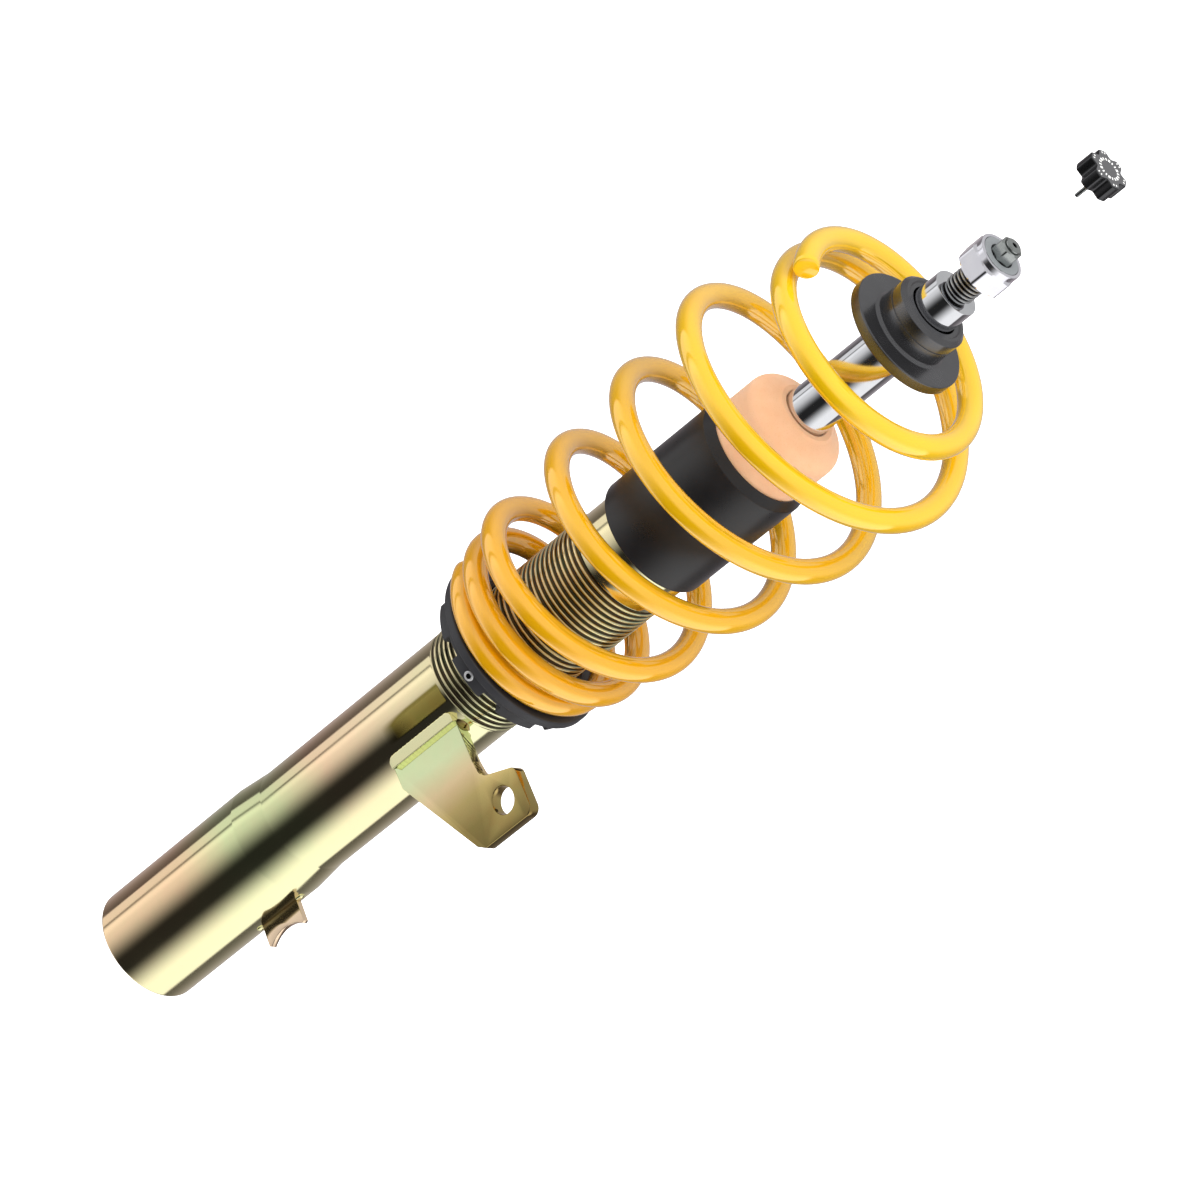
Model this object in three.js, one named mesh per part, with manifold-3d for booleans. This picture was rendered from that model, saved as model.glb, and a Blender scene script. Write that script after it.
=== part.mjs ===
// Adjustable coil-over strut: twin-tube damper, threaded spring perch, barrel spring,
// bump stop with dust sleeve, rod-top collar and a pull-off rebound knob.
// Millimetres. +Z runs up the damper axis; the origin is the centre of the tube's lower end face.
import * as THREE from "three";
import { mergeVertices } from "three/addons/utils/BufferGeometryUtils.js";
import Module from "manifold-3d";

const wasm = await Module();
wasm.setup();

// ---- driving dimensions ----
const gap = 0.3; // left between pieces that touch
const segments = 36;
const innerSegments = 24; // round pieces hidden inside

// outer tube, from its clamped foot to its open top
const clampRadius = 27.5;
const clampTop = 93;
const taperTop = 111;
const tubeRadius = 25.8;
const threadBottom = 226.5;
const threadTop = 323;
const threadRadius = 26;
const neckRadius = 25.2;
const tubeTop = 368;
const clampBore = 24.3;
const tubeBore = 22.6;

// inner parts of the damper
const baseCapHeight = 5;
const pressureRadius = 19;
const pressureBore = 17.5;
const pressureBottom = 14;
const guideBottom = 346;
const guideShoulder = 352;
const guideTop = 361;
const sealTop = 365.7;
const glandTop = 372;
const glandBore = 14.3;
const glandRim = 24.6;
const valveSeat = 24;
const valveTop = 28;
const valveNose = 8;
const pistonBottom = 303;
const pistonTop = 319;
const bandBottom = 307.3;
const bandTop = 314.7;
const shimRadius = 14;
const shimStack = 2.3;
const pistonNutBottom = 290;
const pistonNutAcrossFlats = 19;
const reboundStopRadius = 15.5;
const reboundStopBottom = 330;

// piston rod, top to bottom
const rodRadius = 11;
const rodShoulder = 527.5;
const studRadius = 6.9;
const studTop = 551.6;
const rodTop = 562;
const tipAcrossFlats = 10;
const rodFoot = 322;
const spigotRadius = 6;
const spigotBottom = 286;
const adjusterBore = 3.9;
const keyHoleRadius = 1.25;
const adjusterTop = 554.3;

// rod-top collar and nut
const collarBottom = 494.7;
const collarRadius = 28.3;
const flangeTop = 500;
const flangeStepRadius = 22;
const bossRadius = 17.6;
const collarTop = 515.3;
const ringSeatRadius = 14.3;
const nutBottom = 541;
const nutHexTop = 551.3;
const nutTop = 554.3;
const nutAcrossFlats = 22;
const nutDomeRadius = 11.2;
const insertRadius = 9.1;
const nutTurn = -84.5; // degrees from +X to one corner of the nut

// spring perch
const perchBottom = 247;
const perchRadius = 37.6;
const flangeBottom = 254.9;
const perchFlangeRadius = 41.6;
const perchFlangeTop = 259.1;
const perchBoreRadius = 26.35;
const spigotOfPerchRadius = 29.8;
const perchTop = 264;
const grubRadius = 1.75;
const grubHoleRadius = 2.1;
const grubTip = 28; // distance of the lock screw's inner end from the axis
const slotCount = 8;
const slotWidth = 15; // degrees
const slotDepth = 3.5;
const slotTurn = -28; // degrees from +X to the first slot
const grubTurn = -95; // degrees from +X to the lock screw
const grubHeight = 250.4;

// spring: wire, turns counted from +X, and how its pitch and radius change up the coil
const wireRadius = 5.5;
const springOffset = -2.1; // the free spring sits off centre by its clearance on the perch
const springStart = -0.46;
const springEnd = 6.575;
const springFoot = 264.9;
const footTurn = -0.16;
const footPitch = 15.9;
const openTurn = 1.53;
const openPitch = 47.4;
const closeTurn = 5.47;
const closePitch = 12.8;
const footCoilRadius = 37.8;
const radiusPerTurn = 5.4;
const barrelEnd = 5.17;
const topCoilStart = 5.54;
const topCoilRadius = 49;

// dust sleeve and bump stop
const sleeveBottom = 343.1;
const sleeveRadius = 28.3;
const sleeveShoulder = 405.5;
const sleeveTop = 409.6;
const sleeveBore = 26.7;
const bumpBottom = 372.3;
const bumpRadius = 24.9;
const bumpShoulder = 430.5;
const bumpTop = 438.4;
const bumpBore = 11.8;

// anti-roll-bar bracket: a plate whose front face leaves the tube at plateFoot
const plateFoot = { x: 7.4, y: -24.7 };
const plateTurn = -28; // degrees from +X to the direction in which the plate stands out
const plateThickness = 6;
const plateBottom = 181.8;
const plateTop = 222.4;
const plateReach = 57.7;
const earTop = 242;
const earInner = 36;
const linkHole = { out: 44.8, z: 229.8, radius: 6.2 };

// locating tab on the clamped section
const tabFoot = { x: 25.4, y: -10.5 };
const tabTurn = -31;
const tabThickness = 3;
const tabBottom = 63.5;
const tabTop = 87.2;
const tabReach = 11.4;
const tabHollow = 3.7; // depth of the round hollow in its outer edge

// rebound knob, pulled off its stud
const knobBottom = 606.9;
const knobTop = 615.9;
const knobRadius = 9.9;
const lobeCount = 6;
const lobeHollow = 1.235; // depth scale of the hollows between lobes
const lobeTurn = -38;
const pinRadius = 0.95;
const pinBottom = 596.9;
const pinTop = 611.8;

// ---- materials ----
function finish(color, roughness, metalness) {
  return new THREE.MeshStandardMaterial({ color, roughness, metalness });
}
const zincYellow = () => finish(0xc9bd7a, 0.25, 1);
const zincBright = () => finish(0xc8ccd0, 0.25, 1);
const plainSteel = () => finish(0x8c8f8e, 0.4, 1);
const chromePlate = () => finish(0xd8dadc, 0.1, 1);
const springYellow = () => finish(0xf5b400, 0.25, 0);
const blackNylon = () => finish(0x303033, 0.6, 0);
const blackAnodised = () => finish(0x222224, 0.4, 1);
const peachFoam = () => finish(0xffc088, 0.8, 0);
const blackRubber = () => finish(0x1c1c1e, 0.8, 0);
const bronze = () => finish(0xa5793f, 0.4, 1);
const sinteredIron = () => finish(0x6d6a66, 0.6, 1);

// ---- small helpers ----
const radians = THREE.MathUtils.degToRad;

// a ring or a shaft turned about Z from [radius, height] points
function turned(points, sides = segments) {
  const profile = points.map(([r, z]) => new THREE.Vector2(r, z));
  const closed = points[0][0] > 0 || points.at(-1)[0] > 0;
  if (closed) profile.push(profile[0].clone());
  const geometry = new THREE.LatheGeometry(profile, sides);
  geometry.rotateX(Math.PI / 2);
  return geometry;
}

// a plain bushing or disc between two radii
function bushing(inner, outer, bottom, top, sides = segments) {
  return turned([[inner, bottom], [outer, bottom], [outer, top], [inner, top]], sides);
}

// a plain round bar on the axis
function shaft(radius, bottom, top, sides = segments) {
  return turned([[0, bottom], [radius, bottom], [radius, top], [0, top]], sides);
}

// an outline in XY raised from one height to another
function raised(outline, bottom, top) {
  const shape = outline.isShape ? outline : new THREE.Shape(outline);
  const settings = { depth: top - bottom, bevelEnabled: false, curveSegments: 6 };
  return new THREE.ExtrudeGeometry(shape, settings).translate(0, 0, bottom);
}

function hexagon(acrossFlats, turn) {
  const corner = acrossFlats / Math.sqrt(3);
  const outline = [];
  for (let i = 0; i < 6; i++) {
    const angle = radians(turn + 60 * i);
    outline.push(new THREE.Vector2(corner * Math.cos(angle), corner * Math.sin(angle)));
  }
  return outline;
}

function solid(geometry) {
  const bare = geometry.clone();
  bare.deleteAttribute("normal");
  bare.deleteAttribute("uv");
  const merged = mergeVertices(bare, 1e-4);
  return new wasm.Manifold(
    new wasm.Mesh({
      numProp: 3,
      vertProperties: new Float32Array(merged.attributes.position.array),
      triVerts: new Uint32Array(merged.index.array),
    }),
  );
}

function surface(body) {
  const mesh = body.getMesh();
  const geometry = new THREE.BufferGeometry();
  geometry.setAttribute("position", new THREE.BufferAttribute(mesh.vertProperties, 3));
  geometry.setIndex(new THREE.BufferAttribute(mesh.triVerts, 1));
  geometry.computeVertexNormals();
  return geometry;
}

function cut(geometry, ...tools) {
  return surface(tools.reduce((body, tool) => body.subtract(solid(tool)), solid(geometry)));
}

function joined(first, ...others) {
  return surface(others.reduce((body, other) => body.add(solid(other)), solid(first)));
}

function common(first, second) {
  return surface(solid(first).intersect(solid(second)));
}

const coilover = new THREE.Group();
function add(name, geometry, material, parent = coilover) {
  const mesh = new THREE.Mesh(geometry, material);
  mesh.name = name;
  parent.add(mesh);
  return mesh;
}

// ---- outer tube ----
function strutTube() {
  const footRound = 1.5;
  return turned([
    [clampBore, 0],
    [clampRadius - footRound, 0],
    [clampRadius - 0.4, 0.5],
    [clampRadius, footRound],
    [clampRadius, clampTop],
    [tubeRadius, taperTop],
    [tubeRadius, threadBottom],
    [threadRadius, threadBottom + 0.5],
    [threadRadius, threadTop],
    [neckRadius, threadTop + 0.8],
    [neckRadius, tubeTop],
    [tubeBore, tubeTop],
    [tubeBore, taperTop + 2],
    [clampBore, clampTop + 2],
  ]);
}

// ---- damper inner parts ----
function baseValve() {
  const skirt = pressureBore - gap;
  return turned([
    [0, baseCapHeight + gap],
    [pressureRadius + 1, baseCapHeight + gap],
    [pressureRadius + 1, pressureBottom - gap],
    [skirt, pressureBottom - gap],
    [skirt, valveSeat],
    [valveNose, valveTop],
    [0, valveTop],
  ], innerSegments);
}

function rodGuide() {
  const bore = rodRadius + 1.9;
  return turned([
    [bore, guideBottom],
    [pressureBore - gap, guideBottom],
    [pressureBore - gap, guideShoulder],
    [tubeBore - gap, guideShoulder],
    [tubeBore - gap, guideTop],
    [bore, guideTop],
  ], innerSegments);
}

// the screwed closure of the tube, with four notches for a pin spanner
function glandNut() {
  const bottom = sealTop + gap;
  const ring = turned([
    [glandBore, bottom],
    [tubeBore - gap, bottom],
    [tubeBore - gap, tubeTop + gap],
    [glandRim, tubeTop + gap],
    [glandRim, glandTop],
    [glandBore, glandTop],
  ]);
  const notches = [];
  for (let i = 0; i < 4; i++) {
    const notch = new THREE.BoxGeometry(5, 4, 4).translate(glandRim - 0.6, 0, glandTop);
    notches.push(notch.rotateZ(radians(45 + 90 * i)));
  }
  return cut(ring, ...notches);
}

// ---- piston rod ----
function pistonRod() {
  const grooveRadius = rodRadius - 0.8;
  const shaft = turned([
    [adjusterBore, spigotBottom],
    [spigotRadius, spigotBottom],
    [spigotRadius, rodFoot],
    [rodRadius, rodFoot],
    [rodRadius, collarBottom + 1.2],
    [grooveRadius, collarBottom + 1.2],
    [grooveRadius, collarBottom + 3.4],
    [rodRadius, collarBottom + 3.4],
    [rodRadius, rodShoulder - 1.2],
    [rodRadius - 1, rodShoulder],
    [studRadius, rodShoulder],
    [studRadius, studTop],
    [adjusterBore, studTop],
  ]);
  const tipBlank = raised(hexagon(tipAcrossFlats, -90), studTop - 1, rodTop);
  const tipCorner = tipAcrossFlats / Math.sqrt(3);
  const tipTurned = turned([
    [keyHoleRadius, studTop - 2],
    [tipCorner + 0.2, studTop - 2],
    [tipCorner + 0.2, rodTop - 1.6],
    [tipCorner - 1.6, rodTop],
    [keyHoleRadius, rodTop],
  ]);
  const tip = common(tipBlank, tipTurned);
  const bore = turned([
    [0, spigotBottom - 1],
    [adjusterBore, spigotBottom - 1],
    [adjusterBore, adjusterTop + gap],
    [0, adjusterTop + gap],
  ], 24);
  return cut(joined(shaft, tip), bore);
}

// the needle that the knob turns: a long shaft with a hexagon socket on top
function adjusterNeedle() {
  const radius = adjusterBore - gap;
  const shaft = turned([
    [0, spigotBottom + 4],
    [1.2, spigotBottom + 12],
    [radius, spigotBottom + 16],
    [radius, adjusterTop],
    [0, adjusterTop],
  ], 24);
  const socket = raised(hexagon(2 * pinRadius + 0.5, 0), adjusterTop - 8, adjusterTop + 1);
  return cut(shaft, socket);
}

function pistonBody() {
  const radius = pressureBore - 0.5;
  const land = 4; // height of the full-size rim above and below the band's groove
  return turned([
    [spigotRadius + gap, pistonBottom],
    [radius, pistonBottom],
    [radius, pistonBottom + land],
    [radius - 1.5, pistonBottom + land],
    [radius - 1.5, pistonTop - land],
    [radius, pistonTop - land],
    [radius, pistonTop],
    [spigotRadius + gap, pistonTop],
  ]);
}

// ---- rod-top collar, its ring and the nut ----
function topCollar() {
  const bore = rodRadius + 0.65;
  return turned([
    [bore, collarBottom + 3.7],
    [ringSeatRadius, collarBottom + 3.7],
    [ringSeatRadius, collarBottom],
    [collarRadius - 0.6, collarBottom],
    [collarRadius, collarBottom + 0.6],
    [collarRadius, flangeTop - 0.6],
    [collarRadius - 0.6, flangeTop],
    [flangeStepRadius, flangeTop],
    [flangeStepRadius, flangeTop + 2.1],
    [bossRadius, flangeTop + 2.9],
    [bossRadius, collarTop - 1.8],
    [bossRadius - 1.2, collarTop],
    [bore + 1, collarTop],
    [bore, collarTop - 1],
  ]);
}

// an open wire ring that snaps into the rod's groove
function collarRing() {
  const outline = new THREE.Shape();
  const inner = rodRadius - 0.5;
  const outer = ringSeatRadius - 0.7;
  const open = radians(14);
  outline.absarc(0, 0, outer, open, 2 * Math.PI - open, false);
  outline.absarc(0, 0, inner, 2 * Math.PI - open, open, true);
  const settings = { depth: 1.6, bevelEnabled: false, curveSegments: 24 };
  return new THREE.ExtrudeGeometry(outline, settings).translate(0, 0, collarBottom + 1.5);
}

function topNut() {
  const corner = nutAcrossFlats / Math.sqrt(3);
  const hexBlank = raised(hexagon(nutAcrossFlats, nutTurn), nutBottom, nutHexTop);
  const hexTurned = turned([
    [0, nutBottom],
    [corner - 1.6, nutBottom],
    [corner, nutBottom + 1],
    [corner, nutHexTop - 1],
    [corner - 1.6, nutHexTop],
    [0, nutHexTop],
  ]);
  const dome = turned([
    [0, nutHexTop - 2],
    [nutDomeRadius, nutHexTop - 2],
    [nutDomeRadius, nutTop - 1],
    [nutDomeRadius - 0.8, nutTop],
    [0, nutTop],
  ]);
  const bore = turned([
    [0, nutBottom - 1],
    [studRadius + gap, nutBottom - 1],
    [studRadius + gap, nutHexTop],
    [insertRadius + gap, nutHexTop],
    [insertRadius + gap, nutTop + 1],
    [0, nutTop + 1],
  ]);
  return cut(joined(common(hexBlank, hexTurned), dome), bore);
}

// ---- spring perch and its lock screw ----
function grubTool(radius, from, to, sides) {
  const rod = new THREE.CylinderGeometry(radius, radius, to - from, sides);
  rod.rotateZ(-Math.PI / 2).translate((from + to) / 2, 0, grubHeight);
  return rod.rotateZ(radians(grubTurn));
}

function springPerch() {
  const ring = turned([
    [perchBoreRadius, perchBottom],
    [perchRadius - 0.6, perchBottom],
    [perchRadius, perchBottom + 0.6],
    [perchRadius, flangeBottom],
    [perchFlangeRadius, flangeBottom],
    [perchFlangeRadius, perchFlangeTop],
    [spigotOfPerchRadius, perchFlangeTop],
    [spigotOfPerchRadius, perchTop - 1],
    [spigotOfPerchRadius - 1, perchTop],
    [perchBoreRadius, perchTop],
  ]);
  const slots = [];
  const slotSpan = 2 * perchRadius * Math.sin(radians(slotWidth / 2));
  for (let i = 0; i < slotCount; i++) {
    const slot = new THREE.BoxGeometry(20, slotSpan, 2 * slotDepth);
    slot.translate(perchRadius - 4, 0, perchBottom);
    slots.push(slot.rotateZ(radians(slotTurn - (360 / slotCount) * i)));
  }
  return cut(ring, ...slots, grubTool(grubHoleRadius, 20, 45, 16));
}

function grubScrew() {
  const socket = raised(hexagon(1.8, 0), 0, 3).rotateY(Math.PI / 2);
  socket.translate(perchRadius - 2.4, 0, grubHeight).rotateZ(radians(grubTurn));
  return cut(grubTool(grubRadius, grubTip, perchRadius - 0.4, 16), socket);
}

// ---- spring ----
// max(x, 0) with its corner rounded over a distance of soft on each side
function ramp(x, soft) {
  if (x < -soft) return 0;
  return x > soft ? x : (x + soft) ** 2 / (4 * soft);
}

class SpringLine extends THREE.Curve {
  getPoint(t) {
    const turn = springStart + (springEnd - springStart) * t;
    const closed = THREE.MathUtils.smoothstep(turn, barrelEnd, topCoilStart);
    const barrel = footCoilRadius + radiusPerTurn * ramp(turn, 0.2);
    const radius = THREE.MathUtils.lerp(barrel, topCoilRadius, closed);
    const height =
      springFoot +
      footPitch * ramp(turn - footTurn, 0.2) +
      (openPitch - footPitch) * ramp(turn - openTurn, 0.15) -
      (openPitch - closePitch) * ramp(turn - closeTurn, 0.28);
    const angle = 2 * Math.PI * turn;
    return new THREE.Vector3(
      springOffset + radius * Math.cos(angle),
      radius * Math.sin(angle),
      height,
    );
  }
}

function coilSpring() {
  const outline = [];
  const sides = 8;
  for (let i = 0; i < sides; i++) {
    const angle = (2 * Math.PI * i) / sides;
    outline.push(new THREE.Vector2(wireRadius * Math.cos(angle), wireRadius * Math.sin(angle)));
  }
  const section = new THREE.Shape(outline);
  const stepsPerTurn = 18;
  const steps = Math.round(stepsPerTurn * (springEnd - springStart));
  return new THREE.ExtrudeGeometry(section, { steps, extrudePath: new SpringLine() });
}

// ---- dust sleeve and bump stop ----
function dustSleeve() {
  return turned([
    [threadRadius + 0.5, sleeveBottom],
    [sleeveRadius - 1.2, sleeveBottom],
    [sleeveRadius - 0.3, sleeveBottom + 0.9],
    [sleeveRadius, sleeveBottom + 2.4],
    [sleeveRadius, sleeveShoulder],
    [bumpRadius + 0.7, sleeveTop],
    [bumpRadius + gap, sleeveTop],
    [bumpRadius + gap, sleeveTop - 2],
    [sleeveBore, sleeveShoulder - 1],
    [sleeveBore, sleeveBottom + 2],
  ]);
}

function bumpStop() {
  return turned([
    [bumpBore, bumpBottom],
    [bumpRadius, bumpBottom],
    [bumpRadius, bumpShoulder - 2],
    [bumpRadius - 1, bumpShoulder],
    [14.4, bumpTop - 1],
    [13.2, bumpTop],
    [bumpBore + 0.8, bumpTop],
    [bumpBore, bumpTop - 0.8],
  ]);
}

// ---- plates welded to the tube ----
// stands a plate outline, drawn as (distance out, height), on the tube at a foot point;
// its front face passes through the foot and its thickness lies behind that face
function standing(geometry, foot, turn) {
  const place = new THREE.Matrix4();
  const angle = radians(turn);
  const out = new THREE.Vector3(Math.cos(angle), Math.sin(angle), 0);
  const up = new THREE.Vector3(0, 0, 1);
  const front = new THREE.Vector3().crossVectors(out, up);
  place.makeBasis(out, up, front).setPosition(foot.x, foot.y, 0);
  return geometry.applyMatrix4(place);
}

function plate(shape, thickness, foot, turn) {
  const settings = { depth: thickness, bevelEnabled: false, curveSegments: 8 };
  const slab = new THREE.ExtrudeGeometry(shape, settings).translate(0, 0, -thickness);
  return standing(slab, foot, turn);
}

function bracketPlate() {
  const shape = new THREE.Shape();
  const corner = 4;
  shape.moveTo(-4, plateBottom);
  shape.lineTo(10.5, plateBottom);
  shape.lineTo(plateReach - 3, 207.5);
  shape.lineTo(plateReach, 211.5);
  shape.lineTo(plateReach, earTop - corner);
  shape.lineTo(plateReach - corner, earTop);
  shape.lineTo(earInner + 1.5, earTop);
  shape.quadraticCurveTo(earInner - 1, earTop - 0.5, earInner - 2.2, 238);
  shape.lineTo(29.5, 227.5);
  shape.quadraticCurveTo(27, plateTop, 21, plateTop);
  shape.lineTo(-4, plateTop);
  shape.closePath();
  const hole = new THREE.Path();
  hole.absarc(linkHole.out, linkHole.z, linkHole.radius, 0, 2 * Math.PI, true);
  shape.holes.push(hole);
  const slab = plate(shape, plateThickness, plateFoot, plateTurn);
  return cut(slab, shaft(tubeRadius + gap, 170, 250));
}

// a fillet weld laid in the corner between the tube and one face of the bracket
function bracketWeld(front) {
  const side = front ? 1 : -1;
  const depth = front ? gap : -plateThickness - gap;
  const angle = radians(plateTurn);
  const faceAt = (out) =>
    new THREE.Vector2(
      plateFoot.x + out * Math.cos(angle) + depth * Math.sin(angle),
      plateFoot.y + out * Math.sin(angle) - depth * Math.cos(angle),
    );
  const touch = tubeRadius + gap + 0.05;
  let cornerOut = front ? -3 : 0;
  while (faceAt(cornerOut).length() < touch) cornerOut += 0.05;
  const corner = faceAt(cornerOut);
  const leg = 5;
  const along = Math.atan2(corner.y, corner.x);
  const outline = [corner];
  for (let i = 1; i <= 3; i++) {
    const turn = along - side * ((leg / touch) * i) / 3;
    outline.push(new THREE.Vector2(Math.cos(turn), Math.sin(turn)).multiplyScalar(touch));
  }
  const toe = outline.at(-1);
  const face = faceAt(cornerOut + leg / 2);
  const crown = toe.clone().add(face).multiplyScalar(0.5);
  crown.add(crown.clone().sub(corner).setLength(0.5));
  outline.push(crown, face);
  if (front) outline.reverse();
  return raised(outline, plateBottom + 1.5, plateTop + (front ? 1 : -1));
}

function locatingTab() {
  const shape = new THREE.Shape();
  const middle = (tabBottom + tabTop) / 2;
  const half = 10.6;
  const hollowRadius = (half * half + tabHollow * tabHollow) / (2 * tabHollow);
  const sweep = Math.asin(half / hollowRadius);
  const centreOut = tabReach - tabHollow + hollowRadius;
  shape.moveTo(-3, tabBottom);
  shape.lineTo(tabReach - 1, tabBottom);
  shape.lineTo(tabReach, middle - half);
  shape.absarc(centreOut, middle, hollowRadius, Math.PI + sweep, Math.PI - sweep, true);
  shape.lineTo(tabReach - 0.5, tabTop);
  shape.lineTo(-3, tabTop);
  shape.closePath();
  const slab = plate(shape, tabThickness, tabFoot, tabTurn);
  return cut(slab, shaft(clampRadius + gap, 50, 100));
}

// a short weld tack at one end of the tab
function tabWeld(middleHeight) {
  const bead = new THREE.SphereGeometry(2.3, 16, 10);
  bead.scale(1, 1.1, 0.8);
  const angle = radians(-20.5);
  const reach = clampRadius + 0.9;
  bead.translate(reach * Math.cos(angle), reach * Math.sin(angle), middleHeight);
  return cut(bead, shaft(clampRadius + gap, 50, 100, 96));
}

// ---- knob ----
function knobBody() {
  const outline = [];
  const steps = 72;
  for (let i = 0; i < steps; i++) {
    const turn = (2 * Math.PI * i) / steps;
    const wave = Math.cos(lobeCount * (turn - radians(lobeTurn)));
    const radius = knobRadius - lobeHollow * (1 - Math.min(1, wave + 0.7));
    outline.push(new THREE.Vector2(radius * Math.cos(turn), radius * Math.sin(turn)));
  }
  const lobed = raised(outline, knobBottom, knobTop);
  const turnedBlank = turned([
    [0, knobBottom],
    [knobRadius - 0.6, knobBottom],
    [knobRadius + 0.1, knobBottom + 0.7],
    [knobRadius + 0.1, knobTop - 0.9],
    [knobRadius - 0.8, knobTop],
    [0, knobTop],
  ]);
  const hole = shaft(pinRadius + gap, knobBottom - 1, pinTop + gap, 16);
  return cut(common(lobed, turnedBlank), hole);
}

// ---- assembly ----
add("strut_tube", strutTube(), zincYellow());
add("base_cap", shaft(clampBore - gap, 0, baseCapHeight), zincYellow());
add("base_valve", baseValve(), sinteredIron());
const pressureTube = bushing(pressureBore, pressureRadius, pressureBottom, guideShoulder - gap);
add("pressure_tube", pressureTube, plainSteel());
add("arb_bracket", bracketPlate(), zincYellow());
add("bracket_weld_front", bracketWeld(true), zincYellow());
add("bracket_weld_rear", bracketWeld(false), zincYellow());
add("locating_tab", locatingTab(), zincYellow());
add("tab_weld_upper", tabWeld(tabTop + 2.3), zincYellow());
add("tab_weld_lower", tabWeld(tabBottom - 2.3), zincYellow());
add("rod_guide", rodGuide(), sinteredIron());
const onRod = rodRadius + gap;
const guideBush = bushing(onRod, rodRadius + 1.6, guideBottom, guideTop, innerSegments);
add("guide_bush", guideBush, bronze());
const rodSeal = bushing(onRod, tubeBore - gap, guideTop + gap, sealTop, innerSegments);
add("rod_seal", rodSeal, blackRubber());
add("gland_nut", glandNut(), zincYellow());
const wiperSeal = bushing(onRod, glandBore - gap, sealTop + gap, glandTop, innerSegments);
add("wiper_seal", wiperSeal, blackRubber());

add("piston_band", bushing(pressureBore - 1.7, pressureBore - 0.2, bandBottom, bandTop), blackNylon());

add("piston_rod", pistonRod(), chromePlate());
add("piston", pistonBody(), sinteredIron());
const onSpigot = spigotRadius + gap;
const lowerShims = pistonBottom - gap - shimStack;
const reboundShims = bushing(onSpigot, shimRadius, lowerShims, pistonBottom - gap, innerSegments);
add("rebound_shims", reboundShims, plainSteel());
const upperShims = pistonTop + gap;
const compressionShims = bushing(onSpigot, shimRadius, upperShims, upperShims + shimStack, innerSegments);
add("compression_shims", compressionShims, plainSteel());
const nutBlank = raised(hexagon(pistonNutAcrossFlats, 0), pistonNutBottom, lowerShims - gap);
const nutHole = shaft(onSpigot, pistonNutBottom - 5, pistonBottom, innerSegments);
add("piston_nut", cut(nutBlank, nutHole), zincBright());
const reboundStop = bushing(onRod, reboundStopRadius, reboundStopBottom, guideBottom - 0.5, innerSegments);
add("rebound_stop", reboundStop, blackNylon());
add("top_collar", topCollar(), blackAnodised());
add("collar_ring", collarRing(), plainSteel());
add("top_nut", topNut(), zincBright());
const nutInsert = bushing(studRadius + gap, insertRadius, nutHexTop + gap, nutTop - 0.6, innerSegments);
add("nut_insert", nutInsert, blackNylon());

add("adjuster_needle", adjusterNeedle(), plainSteel());

add("rebound_knob", knobBody(), blackAnodised());
add("knob_pin", raised(hexagon(2 * pinRadius * 0.866, 0), pinBottom, pinTop), plainSteel());

add("coil_spring", coilSpring(), springYellow());

add("spring_perch", springPerch(), blackNylon());
add("lock_screw", grubScrew(), zincBright());

add("dust_sleeve", dustSleeve(), blackNylon());
add("bump_stop", bumpStop(), peachFoam());

export default coilover;
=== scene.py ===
import math
import bmesh
import bpy
import numpy as np
from mathutils import Matrix, Vector


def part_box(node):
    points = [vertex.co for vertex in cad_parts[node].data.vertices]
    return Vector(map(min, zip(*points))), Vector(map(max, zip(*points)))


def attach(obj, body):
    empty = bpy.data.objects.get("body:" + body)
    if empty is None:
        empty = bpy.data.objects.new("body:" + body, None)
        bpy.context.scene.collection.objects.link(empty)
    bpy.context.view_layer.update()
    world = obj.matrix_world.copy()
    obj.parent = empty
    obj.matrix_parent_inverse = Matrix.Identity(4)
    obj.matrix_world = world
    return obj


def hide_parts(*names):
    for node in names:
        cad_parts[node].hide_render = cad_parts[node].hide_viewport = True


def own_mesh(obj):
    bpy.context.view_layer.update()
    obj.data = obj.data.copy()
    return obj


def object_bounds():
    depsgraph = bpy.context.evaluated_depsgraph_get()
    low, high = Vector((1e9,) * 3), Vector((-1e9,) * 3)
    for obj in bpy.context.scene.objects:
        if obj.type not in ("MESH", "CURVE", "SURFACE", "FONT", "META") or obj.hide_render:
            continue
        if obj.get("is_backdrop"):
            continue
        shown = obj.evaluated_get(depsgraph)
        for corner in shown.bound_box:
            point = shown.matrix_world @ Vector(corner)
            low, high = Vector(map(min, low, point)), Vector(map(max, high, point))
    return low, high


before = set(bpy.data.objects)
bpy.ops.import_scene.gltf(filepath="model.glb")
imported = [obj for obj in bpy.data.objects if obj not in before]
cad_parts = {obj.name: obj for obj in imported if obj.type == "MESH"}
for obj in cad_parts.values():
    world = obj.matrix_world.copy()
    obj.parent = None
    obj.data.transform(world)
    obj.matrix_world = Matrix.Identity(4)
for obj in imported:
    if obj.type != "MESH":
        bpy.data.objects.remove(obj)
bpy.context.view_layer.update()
mm = 0.001
tau = 2 * math.pi


# shapes: every surface is worked out in millimetres and set down in metres
def reach(node):
    # the lowest and highest point of a CAD node, and how far it stands out along X, in mm
    low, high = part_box(node)
    return low.z / mm, high.z / mm, high.x / mm


def addObject(name, data):
    made = bpy.data.objects.new(name, data)
    bpy.context.scene.collection.objects.link(made)
    return made


def makeMesh(name, points, faces, sharpAngle):
    mesh = bpy.data.meshes.new(name)
    mesh.from_pydata((points * mm).tolist(), [], faces)
    mesh.validate()
    mesh.shade_smooth()
    mesh.set_sharp_from_angle(angle=math.radians(sharpAngle))
    return addObject(name, mesh)


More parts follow.
